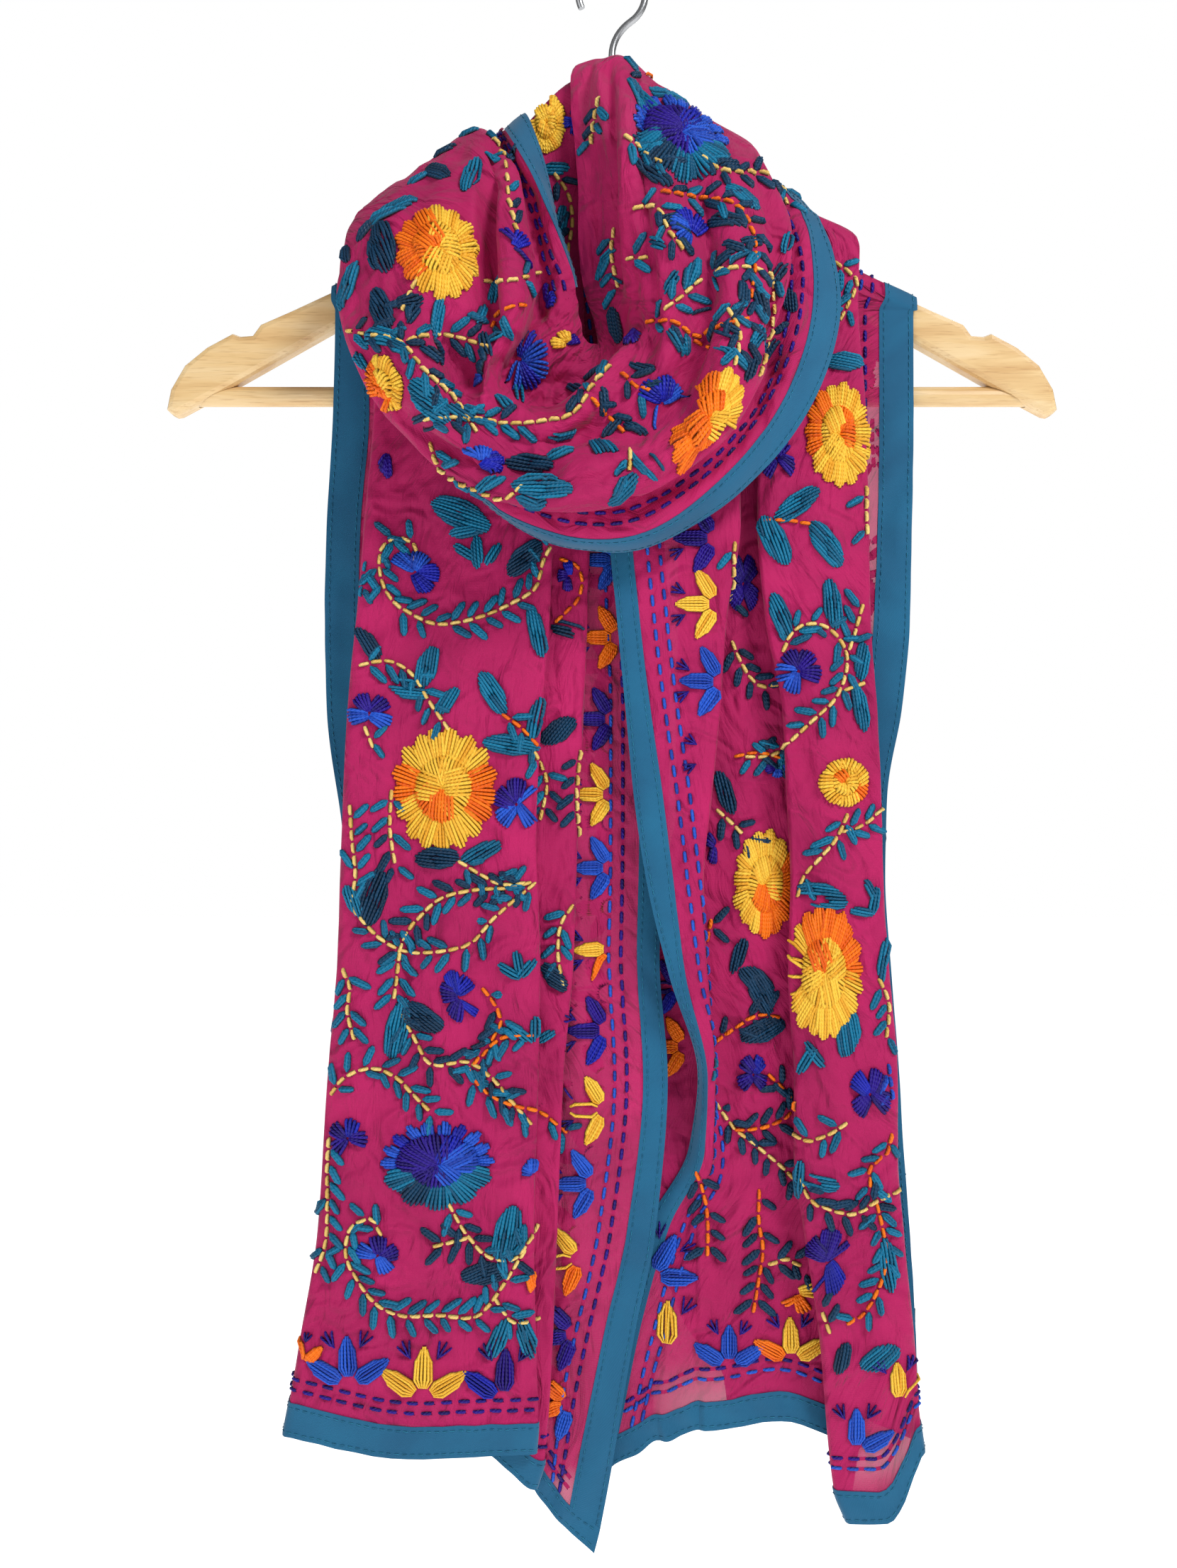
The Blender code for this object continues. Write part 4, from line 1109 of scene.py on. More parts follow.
def lotus(needle, spot, wide, high, turn):
    """A lotus seen from the side: violet body, sky blue outer petals and teal sepals."""
    radius = 0.5 * wide
    flower = (spot, (1.0, high / wide), math.radians(turn))
    for near, far, half, close_up, raised, petals in LOTUS:
        for angle, yarn in petals:
            lobe(needle, flower, math.radians(angle), near * radius, far * radius,
                 half * radius, close_up, yarn, raised)


def leaf(needle, spot, length, width, turn, yarn):
    """A satin leaf: long strands side by side, stepped at both ends, in two lengths where
    one would be too long."""
    whole = math.radians(turn)
    length, width = 1.08 * length, 1.12 * width
    count = max(3, round(width / LEAF_PITCH))
    step = (0.5 + 0.3 * needle.chance.random()) * (-1 if needle.chance.random() < 0.5 else 1)
    for i in range(count):
        share = (i + 0.5) / count * 2 - 1
        half = 0.5 * length * (1 - 0.42 * share * share) * needle.chance.uniform(0.95, 1.04)
        shift = step * 0.32 * width * share
        across = 0.46 * width * share
        split = needle.chance.uniform(-0.25, 0.25) * half
        bow = 0.09 * share
        spans = ((-half, half, bow),)
        if half > LONG_LEAF:
            spans = ((-half, split + LEAF_LAP, 0.6 * bow), (split - LEAF_LAP, half, 0.6 * bow))
        for first, last, bend in spans:
            ends = [turned(shift + end, across * (1 - 0.3 * abs(end / half)), whole)
                    for end in (first, last)]
            needle.stitch(spot, *ends, yarn, "leaf", bend, 0.35 * (1 - abs(share)))


def leaflet(needle, spot, root, length, turn, yarn):
    """A small plump leaf of three strands that meet at both ends."""
    whole = math.radians(turn)
    ends = [plus(root, turned(along, 0.0, whole)) for along in (0.4, length)]
    for bow, raised in ((0.14, 0.0), (-0.14, 0.0), (0.0, 0.6)):
        needle.stitch(spot, *ends, yarn, "leaflet", bow, raised)


def smooth_path(path, pitch):
    """Points at an even pitch along a soft curve through the path, and their directions."""
    path = np.array(path, float)
    knots = arc(path)
    dense = blend_rows(knots, path, np.linspace(0, knots[-1], 40 * len(path)), True)
    gone = arc(dense)
    points = read_line(dense, gone, np.arange(pitch / 2, gone[-1], pitch))
    ways = np.gradient(points, axis=0) if len(points) > 1 else np.array([[1.0, 0.0]])
    return points, np.degrees(np.arctan2(ways[:, 1], ways[:, 0]))


def stem(needle, path, yarn):
    """Chain-like running stitches along a path."""
    for (x, z), turn in zip(*smooth_path(path, STEM_PITCH)):
        spot = needle.place(x, z)
        if spot is not None:
            end = turned(STEM_HALF, 0.0, math.radians(turn))
            needle.stitch(spot, (-end[0], -end[1]), end, yarn, "stem", 0.0, 0.1)


def vine(needle, path, yarns):
    """A stem with pairs of small leaves, and now and then one missing. The first yarn is
    the stem's, and a vine of one yarn has no leaves."""
    stem(needle, path, yarns[0])
    if len(yarns) == 1:
        return
    for (x, z), turn in zip(*smooth_path(path, LEAFLET_PITCH)):
        spot = needle.place(x, z)
        if spot is None:
            continue
        for hand in (1, -1):
            if needle.chance.random() < 0.1:
                continue
            leaflet(needle, spot, turned(1.6, hand * 1.3, math.radians(turn)),
                    LEAFLET_LENGTH * needle.chance.uniform(0.8, 1.15),
                    turn + hand * needle.chance.uniform(32, 58),
                    yarns[1 + int(needle.chance.random() * (len(yarns) - 1))])


def sprig(needle, spot, size, turn, yarns):
    """A border sprig: three lotus petals, with forked violet twigs between them. Its lengths
    are shares of its size."""
    whole = math.radians(turn)
    for angle, far, yarn in ((0, 1.0, yarns[0]), (58, 0.95, yarns[-1]), (-58, 0.95, yarns[0])):
        bud = turned(0.16 * size, 0.0, math.radians(angle))
        root = turned(bud[0] - 0.35 * size, bud[1], whole)
        way = math.radians(angle) + whole
        count = 6
        for i in range(count):
            share = (i + 0.5) / count * 2 - 1
            side = turned(0.0, share * 0.07 * size, way)
            tip = turned(0.66 * far * size * (1 - 0.3 * share * share), 0.0, way)
            needle.stitch(spot, plus(root, side), plus(plus(root, tip), side), yarn, "bud",
                          0.22 * share, 0.3 * (1 - abs(share)))
    root = turned(-0.1 * size, 0.0, whole)
    for angle in (29, -29):
        way = math.radians(angle) + whole
        for bend, start, end in ((0.0, 0.42, 0.72), (0.5, 0.44, 0.68), (-0.5, 0.44, 0.68)):
            needle.stitch(spot, plus(root, turned(start * size, 0.0, way)),
                          plus(root, turned(end * size, bend * 0.22 * size, way)), "v", "twig")


# ---- layout of the thread work ----
# Each row holds what its motif's function takes after the needle. A place is x, z in
# millimetres as seen from EYE, and a turn is in degrees from the +X direction. A string gives
# a yarn for each petal, clockwise from the top, or the yarns of a stem and its leaves.

COWL_WORK = (
    (marigold, (
        (-87, -143, 38, 50, 8, "yyyyyooo", "yyyoo"), (49, -229, 27, 52, -28, "yyyyooooy", "yoooo"),
        (-114, -211, 23, 28, 20, "yyyyyooo", "yyoo"),
    )),
    (lotus, ((35, -85, 50, 62, -12),)),
    (floret, (
        (-50, -142, 27, 20, 0, "vvrv", 90, 280), (-46, -199, 26, 30, 0, "brbbrbbr", 90, 360),
        (25, -221, 24, 26, -30, "rrbbb", 60, 290), (40, -135, 20, 26, 35, "bbrr", 100, 240),
        (12, -186, 10, 18, 0, "vvv", 250, 220), (-32, -172, 12, 22, 10, "vvr", 90, 240),
        (-66, -250, 22, 13, -10, "bbrr", 60, 250), (-91, -259, 15, 11, 0, "bbb", 90, 240),
        (-23, -191, 16, 12, 0, "yyv", 110, 220), (-65, -207, 15, 15, 0, "bdb", 90, 300),
    )),
    (leaf, (
        (-88, -104, 15, 12, 150, "d"), (-71, -106, 23, 8, 95, "t"), (-111, -124, 24, 10, 35, "t"),
        (-117, -141, 26, 15, 115, "d"), (-133, -162, 22, 9, 80, "t"), (-116, -174, 21, 12, 120, "d"),
        (-118, -188, 17, 13, 160, "t"), (-134, -146, 11, 7, 110, "d"), (-72, -85, 10, 6, 30, "t"),
        (-92, -220, 22, 13, 140, "t"), (-95, -231, 15, 9, 175, "d"), (-102, -170, 12, 8, 200, "d"),
        (-41, -251, 20, 9, -10, "d"), (-35, -263, 25, 11, 0, "t"), (-39, -272, 12, 6, -5, "t"),
        (6, -265, 17, 8, 55, "t"), (-2, -246, 22, 13, 130, "t"), (17, -248, 21, 13, -45, "t"),
        (-29, -238, 20, 11, 65, "t"), (59, -198, 17, 12, -35, "t"), (14, -68, 22, 11, 100, "t"),
        (2, -55, 13, 11, 60, "d"), (29, -66, 19, 9, -30, "t"), (21, -105, 21, 9, -45, "d"),
        (66, -117, 17, 10, -50, "t"), (57, -128, 17, 9, -15, "d"), (89, -169, 13, 10, 100, "d"),
        (78, -196, 15, 7, 70, "d"), (-62, -191, 13, 9, 100, "d"), (-107, -193, 11, 6, 150, "t"),
        (40, -156, 14, 6, 70, "t"), (52, -164, 15, 8, -50, "t"), (66, -166, 12, 7, 80, "d"),
        (30, -160, 12, 5, 60, "t"), (58, -184, 12, 7, -30, "d"), (84, -156, 12, 6, 60, "d"),
        (76, -172, 14, 7, 100, "d"), (-88, -178, 18, 6, 80, "t"), (-58, -164, 14, 7, 80, "t"),
        (-57, -95, 10, 5, 30, "t"), (-76, -226, 14, 7, 150, "t"), (2, -182, 18, 8, 100, "d"),
        (-3, -148, 11, 5, 30, "t"), (-5, -154, 10, 5, 60, "t"), (-4, -220, 12, 5, 100, "d"),
        (12, -234, 12, 5, -40, "d"), (0, -234, 12, 5, 60, "d"), (-47, -216, 12, 5, 90, "t"),
        (-54, -221, 12, 5, 130, "t"), (-76, -244, 13, 6, 10, "d"), (33, -190, 12, 5, -60, "t"),
        (46, -176, 12, 5, 20, "d"), (70, -140, 11, 5, 10, "d"), (12, -90, 12, 6, 140, "d"),
        (16, -96, 11, 5, 20, "t"), (58, -100, 12, 5, 20, "d"), (4, -45, 14, 7, 10, "d"),
        (-4, -54, 12, 8, -20, "v"), (42, -70, 16, 8, -35, "t"), (-84, -94, 12, 5, 35, "d"),
        (-97, -108, 12, 5, 40, "t"), (-124, -134, 12, 6, 60, "d"), (3, -142, 11, 5, 20, "t"),
        (5, -158, 11, 5, -30, "t"), (-9, -206, 11, 5, 30, "d"), (16, -204, 12, 5, -20, "d"),
        (-18, -214, 11, 5, 150, "d"), (-90, -196, 12, 5, -40, "d"), (-100, -176, 11, 5, 60, "d"),
        (-126, -200, 10, 5, 120, "t"), (-66, -176, 11, 5, 60, "t"), (70, -204, 12, 5, 70, "d"),
        (73, -188, 12, 6, 60, "t"), (88, -140, 12, 5, 80, "t"), (62, -142, 11, 5, -20, "d"),
        (56, -148, 11, 5, 30, "d"), (22, -140, 11, 5, 150, "t"), (30, -128, 11, 5, 20, "d"),
        (-26, -246, 12, 5, 20, "t"), (-64, -262, 12, 5, 30, "t"),
    )),
    (vine, (
        (((-48, -136), (-52, -118), (-54, -98), (-60, -87)), "ctd"),
        (((1, -132), (0, -146), (3, -162)), "ctt"),
        (((58, -172), (64, -186), (62, -200)), "cdt"),
        (((-66, -160), (-50, -159), (-34, -154)), "ctt"),
        (((-42, -171), (-52, -173), (-59, -179), (-60, -188)), "otd"),
        (((-104, -190), (-88, -186), (-76, -188), (-62, -193)), "ctd"),
        (((-135, -184), (-120, -187), (-109, -189), (-94, -205), (-80, -218), (-69, -234)), "ctd"),
        (((-96, -229), (-67, -229), (-53, -231), (-36, -230), (-20, -226), (-9, -211),
          (2, -199)), "ctd"),
        (((-92, -240), (-87, -253), (-69, -264), (-54, -269), (-46, -263)), "ctt"),
        (((-11, -218), (-3, -226), (6, -236)), "odd"),
        (((9, -243), (9, -256)), "ctt"),
        (((24, -114), (46, -118), (60, -120), (69, -131), (72, -144), (71, -160), (69, -172)),
         "odt"),
        (((44, -96), (53, -103), (64, -105), (76, -105), (85, -112), (89, -124)), "ctd"),
        (((10, -123), (22, -122), (29, -135), (35, -142)), "ctd"),
        (((6, -148), (14, -148), (26, -146)), "ctt"),
        (((26, -174), (35, -167), (46, -158), (60, -153), (71, -153), (82, -158)), "ctt"),
        (((16, -180), (31, -180), (42, -187), (55, -182), (69, -178)), "otd"),
        (((52, -194), (42, -190)), "odt"),
        (((74, -208), (79, -190), (82, -173), (80, -156)), "cdt"),
        (((6, -85), (14, -93), (24, -100)), "ctd"),
        (((-6, -66), (-9, -82), (-11, -94)), "ctd"),
        (((4, -205), (12, -212), (18, -214)), "odt"),
        (((-98, -158), (-102, -167), (-107, -178)), "cdd"),
        (((28, -58), (14, -56)), "odt"),
    )),
)

LEFT_WORK = (
    (marigold, (
        (-85, -415, 51, 61, 0, "yyoooyyyyyyooyyy", "yyyooyyy"),
        (-33, -80, 20, 32, 0, "yyyyyyyy", "yyyyy"),
    )),
    (lotus, ((-88, -605, 56, 44, 0),)),
    (floret, (
        (-99, -306, 26, 20, -25, "bbrr", 60, 260), (-122, -377, 22, 20, -10, "bvvb", 90, 300),
        (-48, -423, 23, 26, 0, "bvvbb", 90, 330), (-77, -520, 17, 27, 20, "vvrrr", 90, 330),
        (-133, -591, 19, 20, 20, "vvrv", 90, 300), (-118, -650, 21, 19, -20, "bvvb", 70, 300),
        (-22, -308, 11, 15, 0, "vvr", 180, 260), (-40, -609, 11, 15, 0, "bbb", 90, 200),
        (-113, -246, 10, 26, 0, "vv", 250, 100), (-40, -668, 8, 20, 0, "oo", 90, 120),
        (-18, -80, 13, 13, 0, "rrv", 180, 260),
    )),
    (leaf, (
        (-76, -277, 28, 15, -20, "t"), (-44, -299, 20, 13, 35, "d"), (-124, -342, 17, 12, 120, "d"),
        (-102, -365, 18, 11, 175, "t"), (-93, -354, 19, 12, 80, "t"), (-83, -371, 15, 8, 60, "t"),
        (-60, -367, 21, 11, 125, "t"), (-38, -380, 20, 9, 80, "t"), (-51, -393, 24, 11, 170, "t"),
        (-27, -386, 17, 13, 50, "d"), (-20, -337, 19, 12, -15, "d"), (-38, -336, 24, 8, 100, "t"),
        (-88, -450, 20, 12, 175, "d"), (-66, -447, 19, 9, 30, "t"), (-120, -470, 26, 14, 70, "d"),
        (-130, -472, 16, 8, 110, "t"), (-97, -530, 22, 15, -35, "d"), (-108, -536, 27, 12, 80, "t"),
        (-29, -510, 14, 11, -30, "d"), (-68, -296, 15, 6, 95, "t"), (-74, -296, 12, 5, 150, "t"),
        (-60, -297, 12, 5, 60, "t"), (-53, -639, 25, 13, 80, "t"), (-64, -659, 20, 13, 200, "d"),
        (-57, -692, 20, 9, 70, "t"), (-43, -692, 18, 9, 110, "t"), (-47, -503, 12, 5, 100, "t"),
        (-43, -506, 12, 5, 50, "t"), (-52, -507, 11, 5, 150, "t"), (-39, -536, 12, 5, 90, "t"),
        (-34, -540, 11, 5, 30, "t"), (-45, -539, 11, 5, 140, "t"), (-74, -286, 14, 6, 10, "t"),
        (-20, -59, 13, 8, 10, "t"), (-29, -103, 14, 7, 0, "t"), (-25, -128, 12, 6, 80, "t"),
    )),
    (vine, (
        (((-101, -303), (-99, -294), (-107, -289), (-115, -293), (-117, -304), (-110, -321),
          (-101, -327), (-89, -332), (-76, -331), (-62, -327), (-51, -322), (-38, -313),
          (-35, -302), (-30, -291)), "ctt"),
        (((-128, -353), (-112, -351), (-101, -357), (-92, -371), (-83, -384)), "ctt"),
        (((-56, -377), (-45, -385), (-38, -393)), "ott"),
        (((-40, -395), (-33, -410), (-36, -430)), "cdt"),
        (((-78, -451), (-65, -459), (-56, -463), (-40, -462)), "ctt"),
        (((-40, -462), (-52, -465), (-69, -466), (-87, -471), (-96, -479), (-103, -487),
          (-107, -496)), "ctd"),
        (((-38, -462), (-50, -472), (-60, -481), (-72, -493), (-87, -497), (-107, -496),
          (-116, -491), (-124, -483), (-130, -475), (-129, -458), (-131, -438), (-132, -424)),
         "ctt"),
        (((-136, -505), (-132, -514), (-133, -527), (-130, -540)), "ctt"),
        (((-111, -415), (-112, -435), (-109, -455)), "cdt"),
        (((-107, -496), (-110, -522)), "ctt"),
        (((-66, -515), (-60, -522), (-56, -534), (-60, -541)), "otd"),
        (((-19, -473), (-25, -482), (-27, -498), (-24, -516)), "ctt"),
        (((-27, -299), (-17, -304), (-16, -317), (-27, -330)), "o"),
        (((-107, -527), (-98, -543), (-92, -553), (-72, -553), (-60, -561), (-50, -573),
          (-38, -587)), "ctd"),
        (((-38, -539), (-56, -541), (-65, -549), (-72, -557), (-65, -566), (-51, -574),
          (-36, -578), (-24, -587)), "ott"),
        (((-142, -570), (-135, -561), (-121, -556), (-108, -561), (-101, -568), (-90, -579)),
         "ctt"),
        (((-142, -590), (-143, -608), (-143, -626), (-145, -648), (-149, -658)), "ctt"),
        (((-116, -641), (-121, -632), (-130, -635), (-134, -648), (-127, -664), (-118, -675),
          (-107, -680), (-89, -680), (-67, -680), (-58, -670), (-51, -659), (-43, -646)), "ctt"),
        (((-83, -623), (-72, -641), (-63, -650), (-50, -652), (-42, -643), (-38, -636)), "ctd"),
        (((-72, -641), (-88, -645)), "cdd"),
        (((-60, -670), (-48, -684), (-38, -682)), "ctt"),
        (((-120, -395), (-124, -385)), "ctd"),
        (((-16, -395), (-18, -418), (-17, -440)), "cdt"),
        (((-124, -300), (-127, -320)), "tt"),
        (((-30, -104), (-22, -116), (-20, -130), (-22, -146), (-19, -158)), "cdt"),
        (((-6, -66), (-9, -82), (-11, -94)), "ctd"),
    )),
    (sprig, (
        (-5, -339, 23, 180, "oo"), (-8, -380, 23, 180, "vv"), (-9, -418, 23, 180, "yy"),
        (-9, -455, 23, 180, "bb"), (-9, -496, 23, 180, "yo"), (-11, -537, 25, 180, "vr"),
        (-12, -577, 25, 180, "yy"), (-18, -614, 25, 182, "bb"), (-25, -653, 25, 190, "yo"),
        (-28, -691, 25, 190, "vv"), (-30, -727, 24, 195, "ob"), (-157, -699, 17, 100, "oo"),
        (-133, -705, 30, 92, "bb"), (-95, -711, 31, 88, "yy"), (-54, -712, 31, 88, "vr"),
        (-5, -300, 22, 180, "bb"),
    )),
)

RIGHT_WORK = (
    (marigold, (
        (114, -237, 33, 53, 0, "yyyyyooy", "oyyyy"), (77, -463, 32, 54, 0, "yoooyyyy", "yooyy"),
        (107, -508, 38, 66, 0, "ooyyyyyyo", "yyyyo"), (117, -412, 25, 24, 10, "yyoyyyy", "yyyo"),
    )),
    (floret, (
        (83, -249, 17, 24, 10, "vvvv", 90, 320), (66, -312, 16, 32, 0, "vvvv", 90, 340),
        (94, -356, 22, 23, 20, "bbvvv", 100, 320), (83, -404, 13, 11, 0, "bbv", 270, 220),
        (130, -569, 20, 27, 10, "vrvv", 90, 330), (108, -654, 22, 35, -10, "rvvvr", 90, 340),
        (94, -669, 19, 20, 20, "yoo", 270, 260), (71, -559, 15, 21, 0, "vvrv", 90, 320),
        (52, -444, 11, 18, 0, "vv", 200, 200),
    )),
    (leaf, (
        (117, -200, 17, 11, -10, "t"), (93, -272, 23, 12, 30, "t"), (82, -290, 24, 13, 110, "t"),
        (108, -292, 24, 13, -50, "t"), (111, -322, 23, 10, 95, "t"), (85, -328, 21, 10, 115, "t"),
        (126, -351, 17, 8, 80, "t"), (125, -374, 23, 8, 100, "t"), (57, -417, 21, 9, 105, "d"),
        (106, -469, 22, 14, 175, "t"), (64, -499, 17, 7, 75, "d"), (73, -512, 18, 13, 130, "d"),
        (137, -502, 20, 6, 80, "t"), (119, -539, 17, 15, 100, "t"), (103, -612, 20, 11, 170, "t"),
        (135, -702, 18, 14, 45, "t"), (116, -702, 15, 8, 80, "d"), (75, -518, 21, 13, 120, "d"),
        (76, -537, 21, 13, 30, "d"), (139, -655, 24, 9, 100, "t"), (132, -472, 14, 5, 80, "t"),
        (136, -476, 12, 4, -40, "t"), (126, -477, 12, 4, 170, "t"), (130, -466, 11, 4, 120, "t"),
        (98, -552, 15, 5, 60, "t"), (102, -549, 14, 5, -50, "t"), (94, -612, 18, 6, 85, "t"),
    )),
    (vine, (
        (((111, -149), (123, -160), (119, -171), (111, -186)), "ctt"),
        (((75, -280), (88, -280), (101, -282)), "o"),
        (((128, -262), (128, -276), (129, -290)), "ctt"),
        (((86, -347), (89, -339), (96, -333), (106, -333), (113, -338), (118, -348), (116, -362),
          (112, -370), (103, -379), (91, -390), (81, -398), (67, -399)), "ctt"),
        (((119, -346), (124, -331), (127, -320)), "ctt"),
        (((116, -366), (124, -363), (131, -361)), "c"),
        (((60, -340), (67, -355), (74, -363), (83, -363)), "cdd"),
        (((61, -399), (74, -397), (83, -399)), "odd"),
        (((62, -290), (61, -306), (60, -322)), "ctd"),
        (((52, -425), (60, -432), (68, -440)), "cdd"),
        (((119, -427), (114, -438), (105, -450), (96, -460), (93, -470)), "ctt"),
        (((115, -437), (127, -433), (135, -426)), "ctt"),
        (((50, -480), (48, -492)), "odd"),
        (((119, -583), (107, -590), (96, -592), (90, -587)), "ctt"),
        (((141, -588), (138, -598), (130, -607), (131, -618)), "ott"),
        (((95, -610), (100, -622), (110, -627), (123, -629), (133, -623), (145, -617)), "cdd"),
        (((133, -623), (136, -636), (138, -652), (134, -667), (127, -679), (117, -685)), "ott"),
        (((51, -572), (61, -585), (74, -596), (85, -605), (92, -612)), "cdd"),
        (((61, -587), (74, -586), (85, -582), (92, -576), (80, -560)), "odd"),
        (((51, -543), (63, -535), (74, -529), (83, -530)), "odd"),
        (((42, -607), (46, -618), (48, -632), (48, -648)), "odd"),
        (((74, -616), (74, -634), (76, -647), (74, -661), (71, -679)), "odd"),
        (((78, -655), (88, -652), (98, -658)), "cdd"),
        (((52, -550), (51, -562)), "td"),
        (((134, -510), (139, -522), (138, -540)), "ctt"),
        (((139, -553), (141, -570)), "bb"),
        (((110, -690), (105, -676)), "cdt"),
    )),
    (sprig, (
        (43, -289, 25, 180, "vv"), (44, -322, 25, 180, "yy"), (46, -361, 25, 178, "bb"),
        (49, -398, 23, 178, "oy"), (29, -545, 22, 180, "oo"), (25, -652, 30, 60, "bv"),
        (28, -688, 32, 90, "yo"), (59, -697, 26, 90, "bb"), (90, -694, 27, 92, "yo"),
        (144, -716, 26, 95, "yo"), (123, -740, 27, 90, "bv"), (26, -515, 20, 180, "vr"),
    )),
)


def inside_line(points, normals, seam, distance):
    """The line of a sheet at a distance from its seam column: points, then normals."""
    across = arc(points, 1)
    last = points.shape[1] - 1
    line = []
    for row in range(len(points)):
        number = np.interp(across[row, seam] + distance, across[row], np.arange(last + 1))
        low = min(int(number), last - 1)
        share = number - low
        line.append(np.concatenate([
            (1 - share) * points[row, low] + share * points[row, low + 1],
            (1 - share) * normals[row, low] + share * normals[row, low + 1]]))
    return np.array(line)


def dashes(needle, line, dash, gap, yarn, height, width, rise, start=0.0):
    """Running stitches along a line, on the side that its normals point to."""
    gone = arc(line[:, :3])
    for begin in np.arange(start, gone[-1] - dash, dash + gap):
        length = dash * needle.chance.uniform(0.88, 1.08)
        here = read_line(line, gone, begin + length * np.array(RING_PLACES))
        ups = unit(here[:, 3:])
        lift = height + rise * np.array(RING_LIFT)[:, None]
        needle.add(here[:, :3] + ups * lift, ups, yarn, width, rise)


def running_row(needle, points, normals, seam, distance, yarn):
    """A row of running stitch, seen on both faces of the cloth by turns."""
    line = inside_line(points, normals, seam, distance)
    dashes(needle, line, ROW_DASH, ROW_GAP, yarn, 0.0, *ROW_YARN)
    line[:, 3:] *= -1
    dashes(needle, line, ROW_GAP + ROW_MORE, ROW_DASH - ROW_MORE, yarn, 0.0, *ROW_YARN,
           ROW_DASH - ROW_MORE / 2)


def tape_rows(needle, points, normals, seam, outer):
    """The two lines of machine stitching along a tape, on both its faces."""
    for column, away in ((seam, outer), (outer, seam)):
        inset = MACHINE_INSET if away > column else -MACHINE_INSET
        line = inside_line(points, normals, column, inset)
        for face in (1, -1):
            dashes(needle, line * ([1] * 3 + [face] * 3), *MACHINE_STITCH)


def stitch_tail(side, needle):
    """The running rows and the machine stitching of a tail."""
    sheet = SHEETS[side]
    hem = ROWS_PER_STATION
    points, normals = sheet.points[hem:], sheet.normals[hem:]
    last = points.shape[1] - 1
    first_rows, last_rows, hem_rows = TAIL_ROWS[side]
    for distance, yarn in first_rows:
        running_row(needle, points, normals, TAPE_STEPS, distance, yarn)
    for distance, yarn in last_rows:
        running_row(needle, points, normals, last - TAPE_STEPS, -distance, yarn)
    # The same sheet with its rows and columns changed over, for what runs along the hem.
    across, across_normals = sheet.points.transpose(1, 0, 2), sheet.normals.transpose(1, 0, 2)
    inside = slice(TAPE_STEPS, -TAPE_STEPS)
    for distance, yarn in hem_rows:
        running_row(needle, across[inside], across_normals[inside], hem, distance, yarn)
    tape_rows(needle, points, normals, TAPE_STEPS, 0)
    tape_rows(needle, points, normals, last - TAPE_STEPS, last)
    tape_rows(needle, across, across_normals, hem, 0)


def stitch_loop(needle, first, end):
    """The rows along the loop's edges, between two of its rows."""
    sheet = SHEETS["loop"]
    points, normals = sheet.points[first:end], sheet.normals[first:end]
    last = points.shape[1] - 1
    seam = last - TAPE_STEPS
    for distance, yarn in LOOP_OUTER_ROWS:
        running_row(needle, points, normals, seam, -distance, yarn)
    taped = min(end, loop_row(BACK_TAPE_END) + 1) - first
    tape_rows(needle, points[:taped], normals[:taped], seam, last)
    taped = loop_row(INNER_TAPE_END) + 1 - first
    if taped > 0:
        # The rows run on a little, under the drape, where the tape has ended.
        for distance, yarn in LOOP_INNER_ROWS:
            running_row(needle, points[:taped + 4], normals[:taped + 4], TAPE_STEPS, distance,
                        yarn)
        tape_rows(needle, points[:taped], normals[:taped], TAPE_STEPS, 0)


def lay_work(needle, tables, shift=(0.0, 0.0)):
    """Lay every motif of a table, moved by shift."""
    for motif, rows in tables:
        for row in rows:
            if motif is vine:
                vine(needle, [plus(place, shift) for place in row[0]], row[1])
                continue
            spot = needle.place(row[0] + shift[0], row[1] + shift[1])
            if spot is not None:
                motif(needle, spot, *row[2:])


def embroider():
    """Thread work of each stretch of cloth, by the name of its node."""
    yarns = [thread_material(*YARNS[letter]) for letter in YARN_ORDER]
    made = {}
    for side, tables, shift, seed in (("left", LEFT_WORK, (0, 24), 3),
                                      ("right", RIGHT_WORK, (0, 30), 5)):
        needle = Needle(f"{side}_tail_embroidery", SHEETS[side], TAIL_CURL, seed)
        lay_work(needle, tables)
        # The cloth's back layers carry the same repeating layout, a little further up.
        needle.behind = True
        lay_work(needle, tables, shift)
        stitch_tail(side, needle)
        made[f"{side}_tail"] = needle.finish(yarns)
    loop, ridge = SHEETS["loop"].points, loop_row(COWL_END)
    needle = Needle("front_loop_embroidery", Sheet(loop[:ridge + 4]), LOOP_CURL, 7)
    lay_work(needle, COWL_WORK)
    stitch_loop(needle, 0, ridge + 1)
    made["front_loop"] = needle.finish(yarns)
    needle = Needle("neck_back_embroidery", Sheet(loop[ridge:]), LOOP_CURL, 9)
    needle.behind = True
    lay_work(needle, COWL_WORK, (0, 8))
    stitch_loop(needle, ridge, len(loop))
    made["neck_back"] = needle.finish(yarns)
    return made


# ---- hanger ----

WIRE_RADIUS = 1.75
HOOK_INNER_RADIUS = 15.0
HOOK_BEND_START = -46.0
HOOK_ENTRY, HOOK_TIP = math.radians(-55), math.radians(205)    # where its arc begins and ends
BEND_LEAD = 7.0            # how far the side bend holds its first and last direction
STEM_FOOT = -116.0


